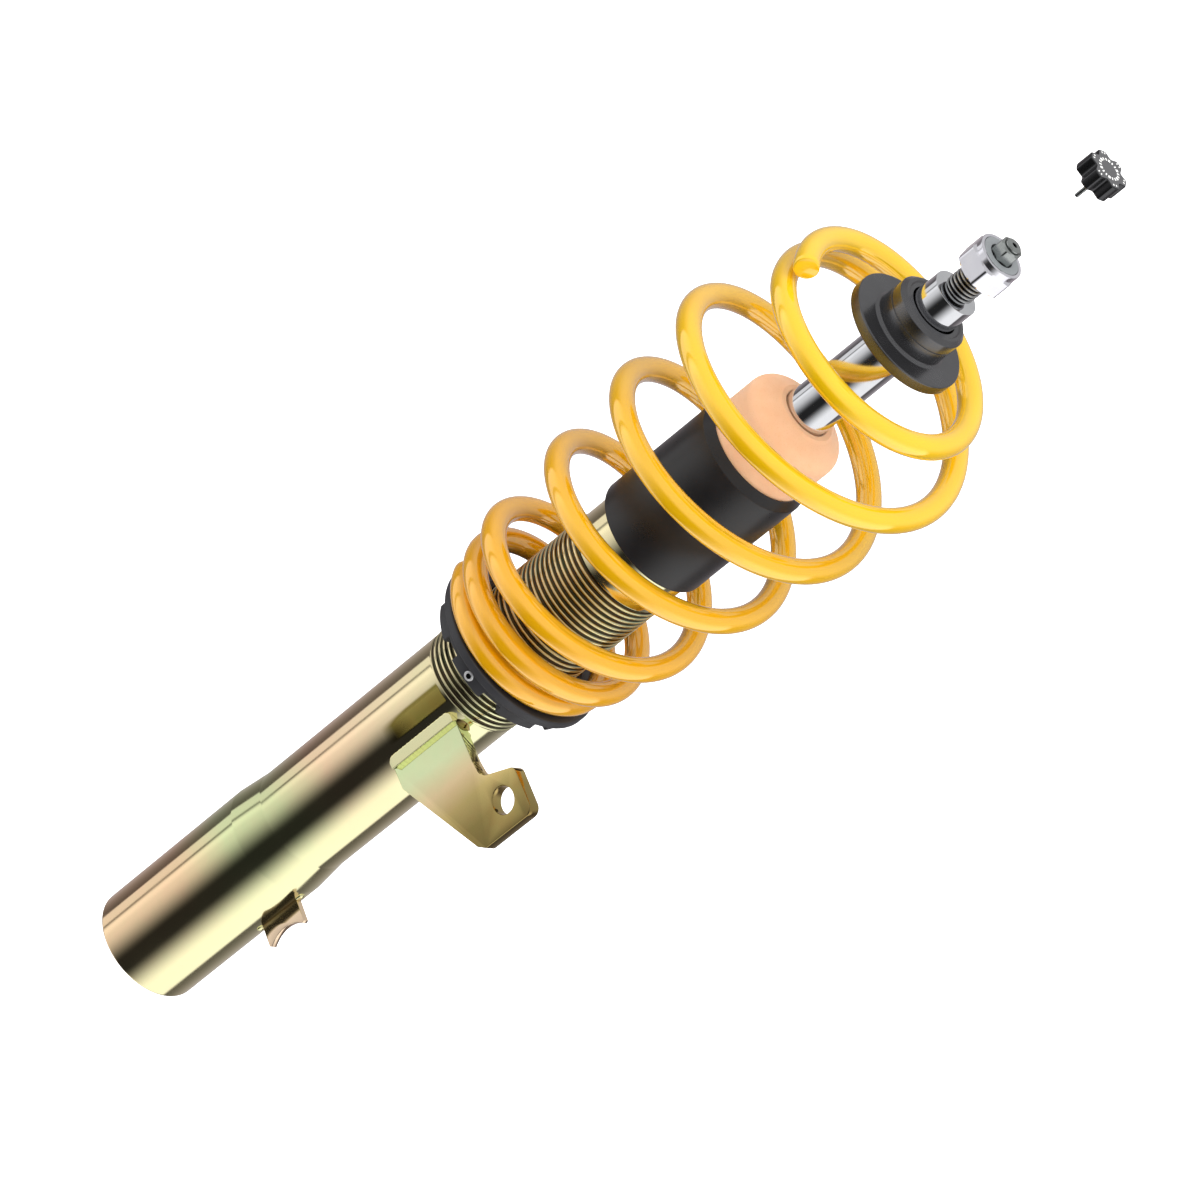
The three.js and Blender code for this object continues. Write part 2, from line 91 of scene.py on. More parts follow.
def skin(name, grid, wrapRows=False, sharpAngle=35):
    # grid is rows x columns x XYZ, each row a closed ring joined to the next. The last row meets the first again
    # (wrapRows), or both end rows are filled by a fan round their middle point.
    rows, columns = grid.shape[:2]
    points = grid.reshape(-1, 3)
    here = np.arange(rows if wrapRows else rows - 1)[:, None] * columns
    there = (here + columns) % (rows * columns)
    left = np.arange(columns)[None]
    right = (left + 1) % columns
    quads = np.stack([here + left, here + right, there + right, there + left], -1).reshape(-1, 4)
    fans = np.empty((0, 3), int)
    if not wrapRows:
        points = np.vstack([points, grid[0].mean(0), grid[-1].mean(0)])
        first = np.full(columns, rows * columns)
        edge = (rows - 1) * columns
        start = np.stack([first, right[0], left[0]], -1)
        end = np.stack([first + 1, left[0] + edge, right[0] + edge], -1)
        fans = np.vstack([start, end])
    corner = points[np.vstack([quads[:, :3], quads[:, [0, 2, 3]], fans])]
    if (corner[:, 0] * np.cross(corner[:, 1], corner[:, 2])).sum() < 0:  # a negative volume: turn the faces outwards
        quads, fans = quads[:, ::-1], fans[:, ::-1]
    return makeMesh(name, points, quads.tolist() + fans.tolist(), sharpAngle)


def rounded(corners, closed=True, steps=5):
    # corners are rows of (radius, height, fillet). Each becomes an arc that touches both of its sides, with one
    # more point a little way along each side, which keeps the flats beside the arc flat.
    corners = np.array(corners, float)
    here, fillet = corners[:, :2], np.maximum(corners[:, 2], 0.06)
    back, on = np.roll(here, 1, 0) - here, np.roll(here, -1, 0) - here
    if not closed:
        ends = here[:1], here[-1:]
        here, fillet, back, on = here[1:-1], fillet[1:-1], back[1:-1], on[1:-1]
    backLength, onLength = np.linalg.norm(back, axis=1), np.linalg.norm(on, axis=1)
    back, on = back / backLength[:, None], on / onLength[:, None]
    half = np.arccos(np.clip((back * on).sum(1), -1, 1)) / 2
    run = np.minimum(fillet / np.tan(half), 0.4 * np.minimum(backLength, onLength))
    radius = run * np.tan(half)
    towards = back + on
    towards /= np.maximum(np.linalg.norm(towards, axis=1), 1e-9)[:, None]
    centre = here + towards * (radius / np.sin(half))[:, None]
    start, end = here + back * run[:, None] - centre, here + on * run[:, None] - centre
    first = np.arctan2(start[:, 1], start[:, 0])
    sweep = (np.arctan2(end[:, 1], end[:, 0]) - first + math.pi) % tau - math.pi
    angle = first[:, None] + sweep[:, None] * np.linspace(0, 1, steps + 1)[None]
    arc = centre[:, None] + radius[:, None, None] * np.stack([np.cos(angle), np.sin(angle)], -1)
    spare = np.minimum(0.3, 0.08 * np.minimum(backLength, onLength))
    before = here + back * (run + spare)[:, None]
    after = here + on * (run + spare)[:, None]
    line = np.concatenate([before[:, None], arc, after[:, None]], 1).reshape(-1, 2)
    return line if closed else np.vstack([ends[0], line, ends[1]])


def wholeTurn(steps):
    return np.linspace(0, tau, steps, endpoint=False)


def spin(radius, height, angle):
    # x = radius cos(angle), y = radius sin(angle), z = height, on a whole grid at once
    radius, height, angle = np.broadcast_arrays(radius, height, angle)
    return np.stack([radius * np.cos(angle), radius * np.sin(angle), height], -1)


def turned(name, corners, columns=120, sharpAngle=35, closed=True):
    # a profile of (radius, height, fillet) carried round the axis
    line = rounded(corners, closed)
    return skin(name, spin(line[:, :1], line[:, 1:], wholeTurn(columns)[None]), closed, sharpAngle)


def hexRadius(angle, acrossFlats, turn, corner=0.0):
    # distance from the middle of a hexagon to its side: half the flats over the cosine inside each sixth. Near a
    # corner it is the far side of a circle of the corner's radius, whose middle lies on the line to the corner.
    inSixth = (angle - math.radians(turn) + math.pi / 6) % (math.pi / 3) - math.pi / 6
    radius = acrossFlats / 2 / np.cos(math.pi / 6 - np.abs(inSixth))
    if corner:
        middle = (acrossFlats / 2 - corner) / math.cos(math.pi / 6)
        touch = math.atan2(corner / 2, middle + corner * math.cos(math.pi / 6))
        inside = np.abs(inSixth) < touch
        arc = middle * np.cos(inSixth) + np.sqrt(np.clip(corner ** 2 - (middle * np.sin(inSixth)) ** 2, 0, None))
        radius = np.where(inside, arc, radius)
    return radius


def hexTurns(turn, fine, spread=3.0):
    # angles for a hexagonal piece: fine steps within spread degrees of each corner and wider ones between
    near = np.linspace(-spread, spread, fine)
    between = np.linspace(spread, 60 - spread, 24)[1:-1]
    return np.radians(turn + (60 * np.arange(6)[:, None] + np.concatenate([near, between])[None]).ravel())[None]


def smooth(value, low, high):
    share = np.clip((value - low) / (high - low), 0, 1)
    return share * share * (3 - 2 * share)


def threadWave(angle, height, pitch, fullness=2.2):
    # 1 on the crest and 0 in the root of a right-hand thread: a softened square wave that climbs one pitch a turn
    phase = np.cos(tau * height / pitch - angle)
    return 0.5 + 0.5 * np.tanh(fullness * phase) / math.tanh(fullness)


def standing(points, foot, turn):
    # takes (out, up, front) to XYZ for a plate that stands out from the tube at foot, turned about the axis
    out = np.array([math.cos(math.radians(turn)), math.sin(math.radians(turn)), 0])
    front = np.cross(out, [0, 0, 1])
    return points[..., :1] * out + points[..., 2:] * front + points[..., 1:2] * [0, 0, 1] + [*foot, 0]


# materials: colours are sRGB hex values, positions are in metres and pattern sizes in millimetres
def linear(hexColour, alpha=1.0):
    part = np.array([int(hexColour[i:i + 2], 16) for i in (1, 3, 5)]) / 255
    part = np.where(part <= 0.04045, part / 12.92, ((part + 0.055) / 1.055) ** 2.4)
    return (*part.tolist(), alpha)


def addNode(tree, kind, inputs=(), stops=(), **settings):
    # one node. Its inputs come in order or by name, each a socket, a number or a hex colour; stops fill a ramp.
    made = tree.nodes.new("ShaderNode" + kind)
    for name, value in settings.items():
        setattr(made, name, value)
    for name, value in (inputs.items() if isinstance(inputs, dict) else enumerate(inputs)):
        if isinstance(value, bpy.types.NodeSocket):
            tree.links.new(value, made.inputs[name])
        else:
            made.inputs[name].default_value = linear(value) if isinstance(value, str) else value
    for index, (position, colour) in enumerate(stops):
        elements = made.color_ramp.elements
        element = elements[index] if index < 2 else elements.new(position)
        element.position, element.color = position, linear(colour)
    return made.outputs


def startMaterial(name, finish):
    # a material with the finish's fixed values on its shader, and the object's own coordinates
    material = bpy.data.materials.new(name)
    material.use_nodes = True
    tree = material.node_tree
    tree.nodes.clear()
    addNode(tree, "OutputMaterial", [addNode(tree, "BsdfPrincipled", finish)[0]])
    return material, tree, addNode(tree, "TexCoord")["Object"]


def dress(tree, colour, roughness, relief, depth, strength=1.0):
    # joins a colour and a roughness to the shader, with a relief that stands out by depth mm
    bump = addNode(tree, "Bump", {"Height": relief, "Distance": depth * mm, "Strength": strength})[0]
    for name, socket in {"Base Color": colour, "Roughness": roughness, "Normal": bump}.items():
        tree.links.new(socket, tree.nodes["Principled BSDF"].inputs[name])


def blobs(tree, place, size, detail=2.0, stretch=(1, 1, 1)):
    # a pattern of blobs about size mm across, longer along an axis where stretch is small
    drawn = addNode(tree, "Mapping", {"Vector": place, "Scale": stretch})[0]
    return addNode(tree, "TexNoise", {"Vector": drawn, "Scale": 1 / (size * mm), "Detail": detail})[0]


def overlay(tree, colour, tint, pattern, start=0.3, end=0.7, most=1.0):
    # lays a tint over a colour, from none to most of it while a pattern goes from start to end
    share = addNode(tree, "MapRange", [pattern, start, end, 0.0, most])[0]
    return addNode(tree, "Mix", {0: share, 6: colour, 7: tint}, data_type="RGBA")[2]


zincLook = {
    "roughness": (0.06, 0.13),
    "drift": 55.0,  # mm, size of the colour clouds in the passivation
    "mottle": 7.0, "smear": 9.0, "grain": 0.5,  # mm
    "rise": (0.0, 0.225), "across": (-0.012, 0.016),  # m, from the tube's first film colour to its last
    "leftFilm": [(0.0, "#ffdcb2"), (0.22, "#ffdab0"), (0.36, "#e2ecb4"), (0.5, "#dfe6b0"), (0.62, "#ffdcb6"),
                 (0.8, "#ffe4bc"), (1.0, "#fff0c0")],  # up the tube's side that looks away from the bracket
    "rightFilm": [(0.0, "#fdf6c4"), (0.4, "#fdfcc8"), (0.7, "#fff6c4"), (1.0, "#fdfcca")],
    "earFilm": [(0.0, "#ecfdc4"), (0.2, "#f2fdc8"), (0.42, "#ffe2b0"), (0.6, "#d8bd78"), (0.8, "#a99350"),
                (1.0, "#9c8648")],
    # painted shade: the tab's first stops are dark brown where it meets the tube, then peach
    "tabFilmAndShade": [(0.0, "#6a5236"), (0.1, "#8a6a48"), (0.18, "#ffe0be"), (1.0, "#ffe2c4")],
    "heatColour": "#9a8830", "heatMetal": 0.55,
    "heatEdges": [((1.0, 0, 0), -0.0102, -0.0078, 0.001), ((-1.0, 0, 0), 0.0006, 0.0016, 0.001),
                  ((0, 0, 1.0), 0.187, 0.206, 0.03), ((0, -1.0, 0), 0.012, 0.016, 0.001),
                  ((0, 0, -1.0), -0.2262, -0.2256, 0.001)],  # direction, where it starts and is full, wander, in m
    # painted shade: the tube's thread roots are darkened to this near-black colour
    "shadedRoots": (25.4, 25.85, 226.5, 322.6, "#120c05"),  # mm, radius of root and crest, lowest and highest point
}


def zincPlate(tree, place, film):
    # mottling, smears and grain that every zinc-plated piece here has on top of its film colour
    mottle = blobs(tree, place, zincLook["mottle"], 3.0)
    tint = addNode(tree, "ValToRGB", [mottle], [(0.3, "#ffd8b4"), (0.5, "#fbf2c0"), (0.7, "#d4ecb4")])["Color"]
    colour = addNode(tree, "Mix", {0: 0.08, 6: film, 7: tint}, data_type="RGBA")[2]
    smear = blobs(tree, place, zincLook["smear"], 4.0, (1, 1, 0.3))
    roughness = addNode(tree, "MapRange", [smear, 0.3, 0.7, *zincLook["roughness"]])[0]
    dress(tree, colour, roughness, blobs(tree, place, zincLook["grain"]), 0.002)


def along(tree, place, direction, start, end, cloud, wander):
    # how far a point lies from start to end along a direction, in metres, with its border wandering by the cloud
    far = addNode(tree, "VectorMath", [place, direction], operation="DOT_PRODUCT")["Value"]
    drift = addNode(tree, "Math", [cloud, wander, -wander / 2], operation="MULTIPLY_ADD")[0]
    moved = addNode(tree, "Math", [far, drift], operation="ADD")[0]
    return addNode(tree, "MapRange", [moved, start, end, 0.0, 1.0])[0]


def paintedRootShade(tree, place, colour, root, crest, bottom, top, dark):
    # painted shade in the roots of a thread: dark below the crest's radius, between two heights, all in mm
    flat = addNode(tree, "VectorMath", [place, (1, 1, 0)], operation="MULTIPLY")[0]
    radius = addNode(tree, "VectorMath", [flat], operation="LENGTH")["Value"]
    deep = addNode(tree, "MapRange", [radius, root * mm, crest * mm, 1.0, 0.0])[0]
    height = addNode(tree, "SeparateXYZ", [place])["Z"]
    middle, half = (bottom + top) / 2 * mm, (top - bottom) / 2 * mm
    within = addNode(tree, "Math", [height, middle, half], operation="COMPARE")[0]
    mask = addNode(tree, "Math", [deep, within], operation="MULTIPLY")[0]
    return addNode(tree, "Mix", {0: mask, 6: colour, 7: dark}, data_type="RGBA")[2]


def tubeFilm(name):
    # zinc plate with a yellow chromate film on the tube: glossy, peach and green on one side, straw on the other
    material, tree, place = startMaterial(name, {"Metallic": 1.0})
    cloud = blobs(tree, place, zincLook["drift"], 1.5, (1, 1, 0.5))
    up = along(tree, place, (0, 0, 1.0), *zincLook["rise"], cloud, 0.06)
    across = along(tree, place, (1.0, 0, 0), *zincLook["across"], cloud, 0.012)
    left = addNode(tree, "ValToRGB", [up], zincLook["leftFilm"])[0]
    right = addNode(tree, "ValToRGB", [up], zincLook["rightFilm"])[0]
    film = addNode(tree, "Mix", {0: across, 6: left, 7: right}, data_type="RGBA")[2]
    # beside the bracket's weld the heat left a dull olive oxide that hides the metal's mirror
    mask = None
    for direction, start, end, wander in zincLook["heatEdges"]:
        side = along(tree, place, direction, start, end, cloud, wander)
        mask = side if mask is None else addNode(tree, "Math", [mask, side], operation="MULTIPLY")[0]
    film = overlay(tree, film, zincLook["heatColour"], mask, 0.0, 0.4)
    metal = addNode(tree, "MapRange", [mask, 0.3, 1.0, 1.0, zincLook["heatMetal"]])[0]
    tree.links.new(metal, tree.nodes["Principled BSDF"].inputs["Metallic"])
    # painted shade darkens the roots of the tube's thread
    zincPlate(tree, place, paintedRootShade(tree, place, film, *zincLook["shadedRoots"]))
    return material


def plateFilm(name, direction, start, end, stops, wander=0.02):
    # the same finish on a plate, its colour running from the tube outwards: on the bracket the film goes pale green
    # to pink to olive brown; on the tab a painted shade, dark brown where it meets the tube, gives way to peach
    material, tree, place = startMaterial(name, {"Metallic": 1.0})
    cloud = blobs(tree, place, zincLook["drift"], 1.5, (1, 1, 0.5))
    out = along(tree, place, direction, start, end, cloud, wander)
    zincPlate(tree, place, addNode(tree, "ValToRGB", [out], stops)["Color"])
    return material


coatLook = {
    # painted light: the high colour is a lighter lemon than the low one, for the stronger light on the upper coils
    "low": "#ffba06", "high": "#ffcf08",  # from the first coil to the last
    "rise": (0.29, 0.49),  # m
    "shade": "#fbae00", "fleck": "#ffd84a",
    "peel": 1.6,  # mm, size of the orange peel
}


def powderCoat(name):
    # golden powder coat baked on the spring wire: deep yellow that tints what it mirrors, smooth, faint orange peel
    material, tree, place = startMaterial(name, {
        "Metallic": 0.3, "Coat Weight": 1.0, "Coat Roughness": 0.03, "Coat IOR": 2.0})
    cloud = blobs(tree, place, 30.0)
    speck = blobs(tree, place, 0.8, 1.0)
    peel = blobs(tree, place, coatLook["peel"], 1.0)
    # painted light: the colour grows lighter and more lemon up the spring
    up = along(tree, place, (0, 0, 1.0), *coatLook["rise"], cloud, 0.02)
    colour = addNode(tree, "Mix", {0: up, 6: coatLook["low"], 7: coatLook["high"]}, data_type="RGBA")[2]
    colour = overlay(tree, colour, coatLook["shade"], cloud, most=0.22)
    colour = overlay(tree, colour, coatLook["fleck"], speck, 0.55, 0.75, 0.08)
    dress(tree, colour, addNode(tree, "MapRange", [speck, 0.3, 0.7, 0.07, 0.12])[0], peel, 0.003)
    return material


def mouldedPlastic(name, colour, shade, roughness, grain, depth, finish=None):
    # an even skin, moulded, printed or anodised: a dull body colour and the grain of its mould or blasting, in mm
    material, tree, place = startMaterial(name, {"IOR": 1.5, **(finish or {})})
    cloud = blobs(tree, place, 12.0, 3.0)
    grains = blobs(tree, place, grain, 1.0)
    body = overlay(tree, colour, shade, cloud)
    handled = addNode(tree, "MapRange", [cloud, 0.3, 0.7, -0.04, 0.04])[0]
    dull = addNode(tree, "MapRange", [grains, 0.3, 0.7, *roughness])[0]
    dress(tree, body, addNode(tree, "Math", [handled, dull], operation="ADD")[0], grains, depth)
    return material


def foam(name):
    # microcellular polyurethane, moulded: matt peach, closed pores a few tenths of a millimetre wide
    material, tree, place = startMaterial(name, {
        "IOR": 1.4, "Specular IOR Level": 0.3, "Sheen Weight": 0.25, "Sheen Roughness": 0.5,
        "Subsurface Weight": 0.12, "Subsurface Scale": 0.004})
    pores = addNode(tree, "TexVoronoi", {"Vector": place, "Scale": 1 / (0.9 * mm)})["Distance"]
    cloud = blobs(tree, place, 10.0, 4.0)
    body = overlay(tree, "#f4c59e", "#eebb92", cloud)
    # painted shade: the pores are darkened towards a deeper peach
    colour = overlay(tree, body, "#d3935f", pores, 0.35, 0.0, 0.25)
    dress(tree, colour, addNode(tree, "MapRange", [cloud, 0.3, 0.7, 0.62, 0.78])[0], pores, 0.03, 0.6)
    return material


def bareMetal(name, colour, shade, roughness, lay, depth=0.003, shadedRoots=None):
    # metal plated, ground or turned: lay is the direction scale of its fine marks, long where the number is small
    material, tree, place = startMaterial(name, {"Metallic": 1.0})
    marks = blobs(tree, place, 0.5, 3.0, lay)
    body = overlay(tree, colour, shade, blobs(tree, place, 8.0, 3.0))
    # painted shade darkens the thread's roots where they are given
    body = paintedRootShade(tree, place, body, *shadedRoots) if shadedRoots else body
    dress(tree, body, addNode(tree, "MapRange", [marks, 0.3, 0.7, *roughness])[0], marks, depth)
    return material


bracketOut, tabOut = (0.883, -0.469, 0.0), (0.857, -0.515, 0.0)  # the way each plate stands out from the tube
tubeZinc = tubeFilm("zincPlateYellowChromate")
bracketZinc = plateFilm("zincPlateOliveChromate", bracketOut, 0.018, 0.074, zincLook["earFilm"])
# the tab's colour starts with painted shade near the tube and turns peach beyond
tabZinc = plateFilm("zincPlatePeachChromate", tabOut, 0.0262, 0.0385, zincLook["tabFilmAndShade"], 0.001)
brownZinc = plateFilm("zincPlateBrownOnWeld", bracketOut, 0.0, 0.05, [(0.0, "#8f7842"), (1.0, "#a58f52")])
weldZinc = plateFilm("zincPlateOnWeld", bracketOut, 0.0, 0.05, [(0.0, "#fffccc"), (1.0, "#fdf6b8")])
springCoat = powderCoat("powderCoatGolden")
bumpFoam = foam("polyurethaneFoamMoulded")
perchNylon = mouldedPlastic("glassFilledNylonMoulded", "#2c2c2f", "#323236", (0.42, 0.52), 0.35, 0.01)
sleevePlastic = mouldedPlastic("polypropyleneSatin", "#1b1b1d", "#202023", (0.3, 0.36), 0.5, 0.004)
rubber = mouldedPlastic("nitrileRubberMoulded", "#161617", "#1d1d1e", (0.6, 0.7), 0.4, 0.01)
bandPlastic = mouldedPlastic("filledSlidingBand", "#1f1f21", "#28282a", (0.45, 0.55), 0.4, 0.006)
printWhite = mouldedPlastic("padPrintWhite", "#fbfbf8", "#f1f1ee", (0.4, 0.5), 0.3, 0.004)
insertNylon = mouldedPlastic("lockInsertNylon", "#868a8c", "#7e8284", (0.35, 0.45), 0.3, 0.006)
anodised = mouldedPlastic("aluminiumBlackAnodised", "#69696b", "#707072", (0.2, 0.27), 0.25, 0.002,
                          {"Metallic": 0.95})
knobBlack = mouldedPlastic("aluminiumKnobAnodised", "#4a4a4c", "#525254", (0.2, 0.28), 0.25, 0.002,
                           {"Metallic": 0.95})
# painted light: the top face is a lighter grey than the lobes, for the stronger light on it
knobFace = mouldedPlastic("aluminiumFaceAnodised", "#7a7a7c", "#828284", (0.3, 0.4), 0.25, 0.003,
                          {"Metallic": 0.8})
# painted shade: near black for the shaded inside of the screw's socket
socketShade = mouldedPlastic("screwSocketPaintedShade", "#040405", "#070708", (0.4, 0.5), 0.2, 0.003,
                             {"Specular IOR Level": 0.1})
hardChrome = bareMetal("hardChromeGround", "#e6e7ea", "#dfe0e4", (0.04, 0.08), (1, 1, 12), 0.0008)
brightZinc = bareMetal("zincPlateBright", "#faf9ff", "#f3f2fa", (0.12, 0.2), (1, 1, 1), 0.002)
screwZinc = bareMetal("zincPlateDull", "#ffffff", "#f1f1f4", (0.5, 0.6), (1, 1, 1), 0.002)
# painted shade: the stud's thread roots are darkened to near black
studSteel = bareMetal("rolledThreadSteel", "#c4c5c6", "#b2b4b4", (0.16, 0.26), (1, 1, 6), 0.002,
                      shadedRoots=(6.05, 6.55, 527.9, 551.6, "#151515"))
barSteel = bareMetal("coldDrawnSteel", "#b9babb", "#a6a8a8", (0.2, 0.32), (1, 1, 6), 0.002)
tipSteel = bareMetal("millSteelTurned", "#b2b6b4", "#a2a6a4", (0.16, 0.24), (1, 1, 8), 0.003)
bushBronze = bareMetal("bronzeSintered", "#b5893f", "#9a7436", (0.3, 0.45), (1, 1, 4), 0.004)
sintered = bareMetal("ironSinteredSteamTreated", "#5f5d5a", "#4d4b49", (0.45, 0.6), (1, 1, 1), 0.01)
print("stage: materials")


def fitPiece(piece, body, slot, material, *nodes):
    # a piece's look, the CAD body it moves with and the nodes it stands for; its slot in the record is not used
    piece.data.materials.append(material)
    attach(piece, body)
    if nodes:
        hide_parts(*nodes)
    return piece


# outer tube: clamped foot, taper, rolled thread and neck
tubeSizes = {
    "footRound": 1.6, "clampTop": 93.0, "taperTop": 111.0, "taperRound": 2.5,
    "radius": 25.8, "threadRadius": 26.0, "neckRadius": 25.2,
    "threadBottom": 226.5, "threadTop": 323.0, "pitch": 3.0, "depth": 1.15, "runOut": 1.6,
    "clampBore": 24.3, "bore": 22.6,
    "columns": 160, "rowsPerPitch": 16,
}


def strutTube():
    # rows follow the wall's profile; over the thread the radius is crest - depth x (1 - wave(turn, height))
    size = tubeSizes
    bottom, top, clampRadius = reach("strut_tube")
    below = rounded([
        (size["clampBore"], size["clampTop"] + 2, 0), (size["clampBore"], bottom, 0.8),
        (clampRadius, bottom, size["footRound"]), (clampRadius, size["clampTop"], size["taperRound"]),
        (size["radius"], size["taperTop"], size["taperRound"]), (size["radius"], size["threadBottom"] - 0.4, 0),
    ], closed=False, steps=8)
    above = rounded([
        (size["neckRadius"], size["threadTop"] + 1, 0), (size["neckRadius"], top, 0.5), (size["bore"], top, 0.5),
        (size["bore"], size["taperTop"] + 2, 1), (size["clampBore"], size["clampTop"] + 3, 0),
    ], closed=False)
    rows = round((size["threadTop"] - size["threadBottom"]) / size["pitch"] * size["rowsPerPitch"])
    height = np.linspace(size["threadBottom"], size["threadTop"], rows)[:, None]
    angle = wholeTurn(size["columns"])[None]
    wave = threadWave(angle, height, size["pitch"], 1.3)
    radius = size["threadRadius"] - size["depth"] * (1 - wave)
    runIn = 1 - smooth(height, size["threadBottom"], size["threadBottom"] + size["runOut"])
    radius = radius + (size["radius"] - radius) * runIn
    runOut = smooth(height, size["threadTop"] - size["runOut"], size["threadTop"])
    radius = radius + (size["neckRadius"] - radius) * runOut
    parts = [(below[:, :1], below[:, 1:]), (radius, height), (above[:, :1], above[:, 1:])]
    return skin("strutTube", np.concatenate([spin(*part, angle) for part in parts]), True, 75)


fitPiece(strutTube(), "strut", "yellow_zinc", tubeZinc, "strut_tube")
print("stage: outer tube")

# bracket and tab: laser-cut plates with broken edges, and their weld beads
bracketSizes = {
    "foot": (7.4, -24.7), "turn": -28.0, "thickness": 6.0, "edge": 0.45,
    "outline": [(-0.6, 181.8, 0), (10.5, 181.8, 3), (54.7, 207.5, 1.5), (57.7, 211.5, 1.5), (57.7, 242.0, 4.2),
                (35.2, 242.0, 3.4), (29.2, 223.6, 9.0), (21.0, 222.4, 2), (-0.6, 222.4, 0)],
    "hole": (44.8, 229.8, 6.2),
}
tabSizes = {"foot": (25.4, -10.5), "turn": -31.0, "thickness": 3.0, "edge": 0.3, "reach": 11.4, "hollow": 3.7}


def plate(name, size, outline, holes):
    # a flat outline of (out, up) points filled, thickened and given a rolled edge, then stood on the tube
    curve = bpy.data.curves.new(name, "CURVE")
    curve.dimensions = "2D"
    curve.fill_mode = "BOTH"
    curve.extrude = size["thickness"] / 2 - size["edge"]
    curve.bevel_depth = size["edge"]
    curve.offset = -size["edge"]
    curve.bevel_resolution = 2
    for line in [outline, *holes]:
        spline = curve.splines.new("POLY")
        spline.points.add(len(line) - 1)
        flat = np.column_stack([line, np.zeros(len(line)), np.ones(len(line))])
        spline.points.foreach_set("co", flat.ravel())
        spline.use_cyclic_u = True
    drawn = addObject(name, curve)
    graph = bpy.context.evaluated_depsgraph_get()
    mesh = bpy.data.meshes.new_from_object(drawn.evaluated_get(graph))
    bpy.data.objects.remove(drawn)
    shell = bmesh.new()
    shell.from_mesh(mesh)
    bmesh.ops.remove_doubles(shell, verts=shell.verts, dist=0.001)
    bmesh.ops.dissolve_degenerate(shell, edges=shell.edges, dist=0.001)
    bmesh.ops.recalc_face_normals(shell, faces=shell.faces)
    shell.to_mesh(mesh)
    shell.free()
    points = np.empty(len(mesh.vertices) * 3)
    mesh.vertices.foreach_get("co", points)
    points = points.reshape(-1, 3) - [0, 0, size["thickness"] / 2]
    faces = [list(face.vertices) for face in mesh.polygons]
    bpy.data.meshes.remove(mesh)
    return makeMesh(name, standing(points, size["foot"], size["turn"]), faces, 30)


def bracket():
    line = rounded(bracketSizes["outline"], steps=10)
    out, up, radius = bracketSizes["hole"]
    angle = wholeTurn(64)
    hole = np.stack([out + radius * np.cos(angle), up + radius * np.sin(angle)], -1)
    return plate("linkBracket", bracketSizes, line, [hole])


def tab():
    # the outer edge is an arc of a circle through the two horns, hollowed by the given depth
    low, high, _ = reach("locating_tab")
    middle, half = (low + high) / 2, (high - low) / 2 - 1.3
    hollow, out = tabSizes["hollow"], tabSizes["reach"]
    radius = (half * half + hollow * hollow) / (2 * hollow)
    sweep = np.linspace(1, -1, 25) * math.asin(half / radius)
    arc = np.stack([out - hollow + radius - radius * np.cos(sweep), middle - radius * np.sin(sweep)], -1)
    line = np.vstack([[(-0.8, low), (out - 0.9, low)], arc, [(out - 0.5, high), (-0.8, high)]])
    return plate("locatingTab", tabSizes, line, [])


beadSizes = {"ripple": 0.16, "pitch": 2.4}


def bead(name, bottom, top, middleAngle, width, height, coreRadius):
    # a weld bead: an ellipse width x height on the tube wall, carried up the tube, rippled every pitch mm and
    # drawn in to nothing over its last few millimetres
    rise = np.linspace(-1, 1, max(24, int((top - bottom) * 5)))[:, None]
    up = (bottom + top) / 2 + (top - bottom) / 2 * rise
    full = np.sqrt(np.clip(1 - np.abs(rise) ** (2 * (top - bottom) / width), 0.004, 1))
    wave = 1 + beadSizes["ripple"] * (np.abs(np.sin(math.pi * up / beadSizes["pitch"] + 0.4 * np.sin(up))) - 0.6)
    around = wholeTurn(28)[None]
    spread = width / 2 * full * np.cos(around) * (1 + 0.3 * (wave - 1))
    swell = height * full * wave * np.sin(around)
    angle = math.radians(middleAngle) + (spread + 0.12 * np.sin(up * 1.7)) / coreRadius
    return skin(name, spin(coreRadius + swell, up, angle), False, 60)


frontWeldSizes = {"section": [(-4.4, 1.7, 0.2), (-4.1, 3.3, 0.75), (1.6, 3.06, 0.25), (0.05, -0.5, 0.2)],
                  "bottom": 183.2, "top": 223.4, "ends": 3.4, "outer": 1.6, "across": 5.7, "drawnIn": 3.0}


def frontWeld():
    # a ground-flat bead that slopes from the plate's face down to the tube: one section of (out, front) carried up
    # the tube, its inner edge wavering by a tenth of a millimetre and drawn in by a quarter circle at both ends
    size = frontWeldSizes
    line = rounded(size["section"])
    share = (1 - np.cos(np.linspace(0, math.pi, 160)))[:, None] / 2
    up = size["bottom"] + (size["top"] - size["bottom"]) * share
    fromEnd = np.minimum(up - size["bottom"], size["top"] - up) / size["ends"]
    full = np.sqrt(np.clip(1 - (1 - np.clip(fromEnd, 0, 1)) ** 2, 0.01, 1))
    waver = 0.1 * np.sin(2.3 * up) + 0.06 * np.sin(5.1 * up)
    # 1 along the inner edge and 0 along the outer one
    inner = np.clip((size["outer"] - line[None, :, 0]) / size["across"], 0, 1)
    out = line[None, :, 0] + inner * (waver + size["drawnIn"] * (1 - full))
    points = np.stack(np.broadcast_arrays(out, up, line[None, :, 1]), -1)
    return skin("bracketWeldFront", standing(points, bracketSizes["foot"], bracketSizes["turn"]), False, 50)


fitPiece(bracket(), "strut", "yellow_zinc", bracketZinc, "arb_bracket")
fitPiece(tab(), "strut", "yellow_zinc", tabZinc, "locating_tab")
fitPiece(frontWeld(), "strut", "yellow_zinc", weldZinc, "bracket_weld_front")
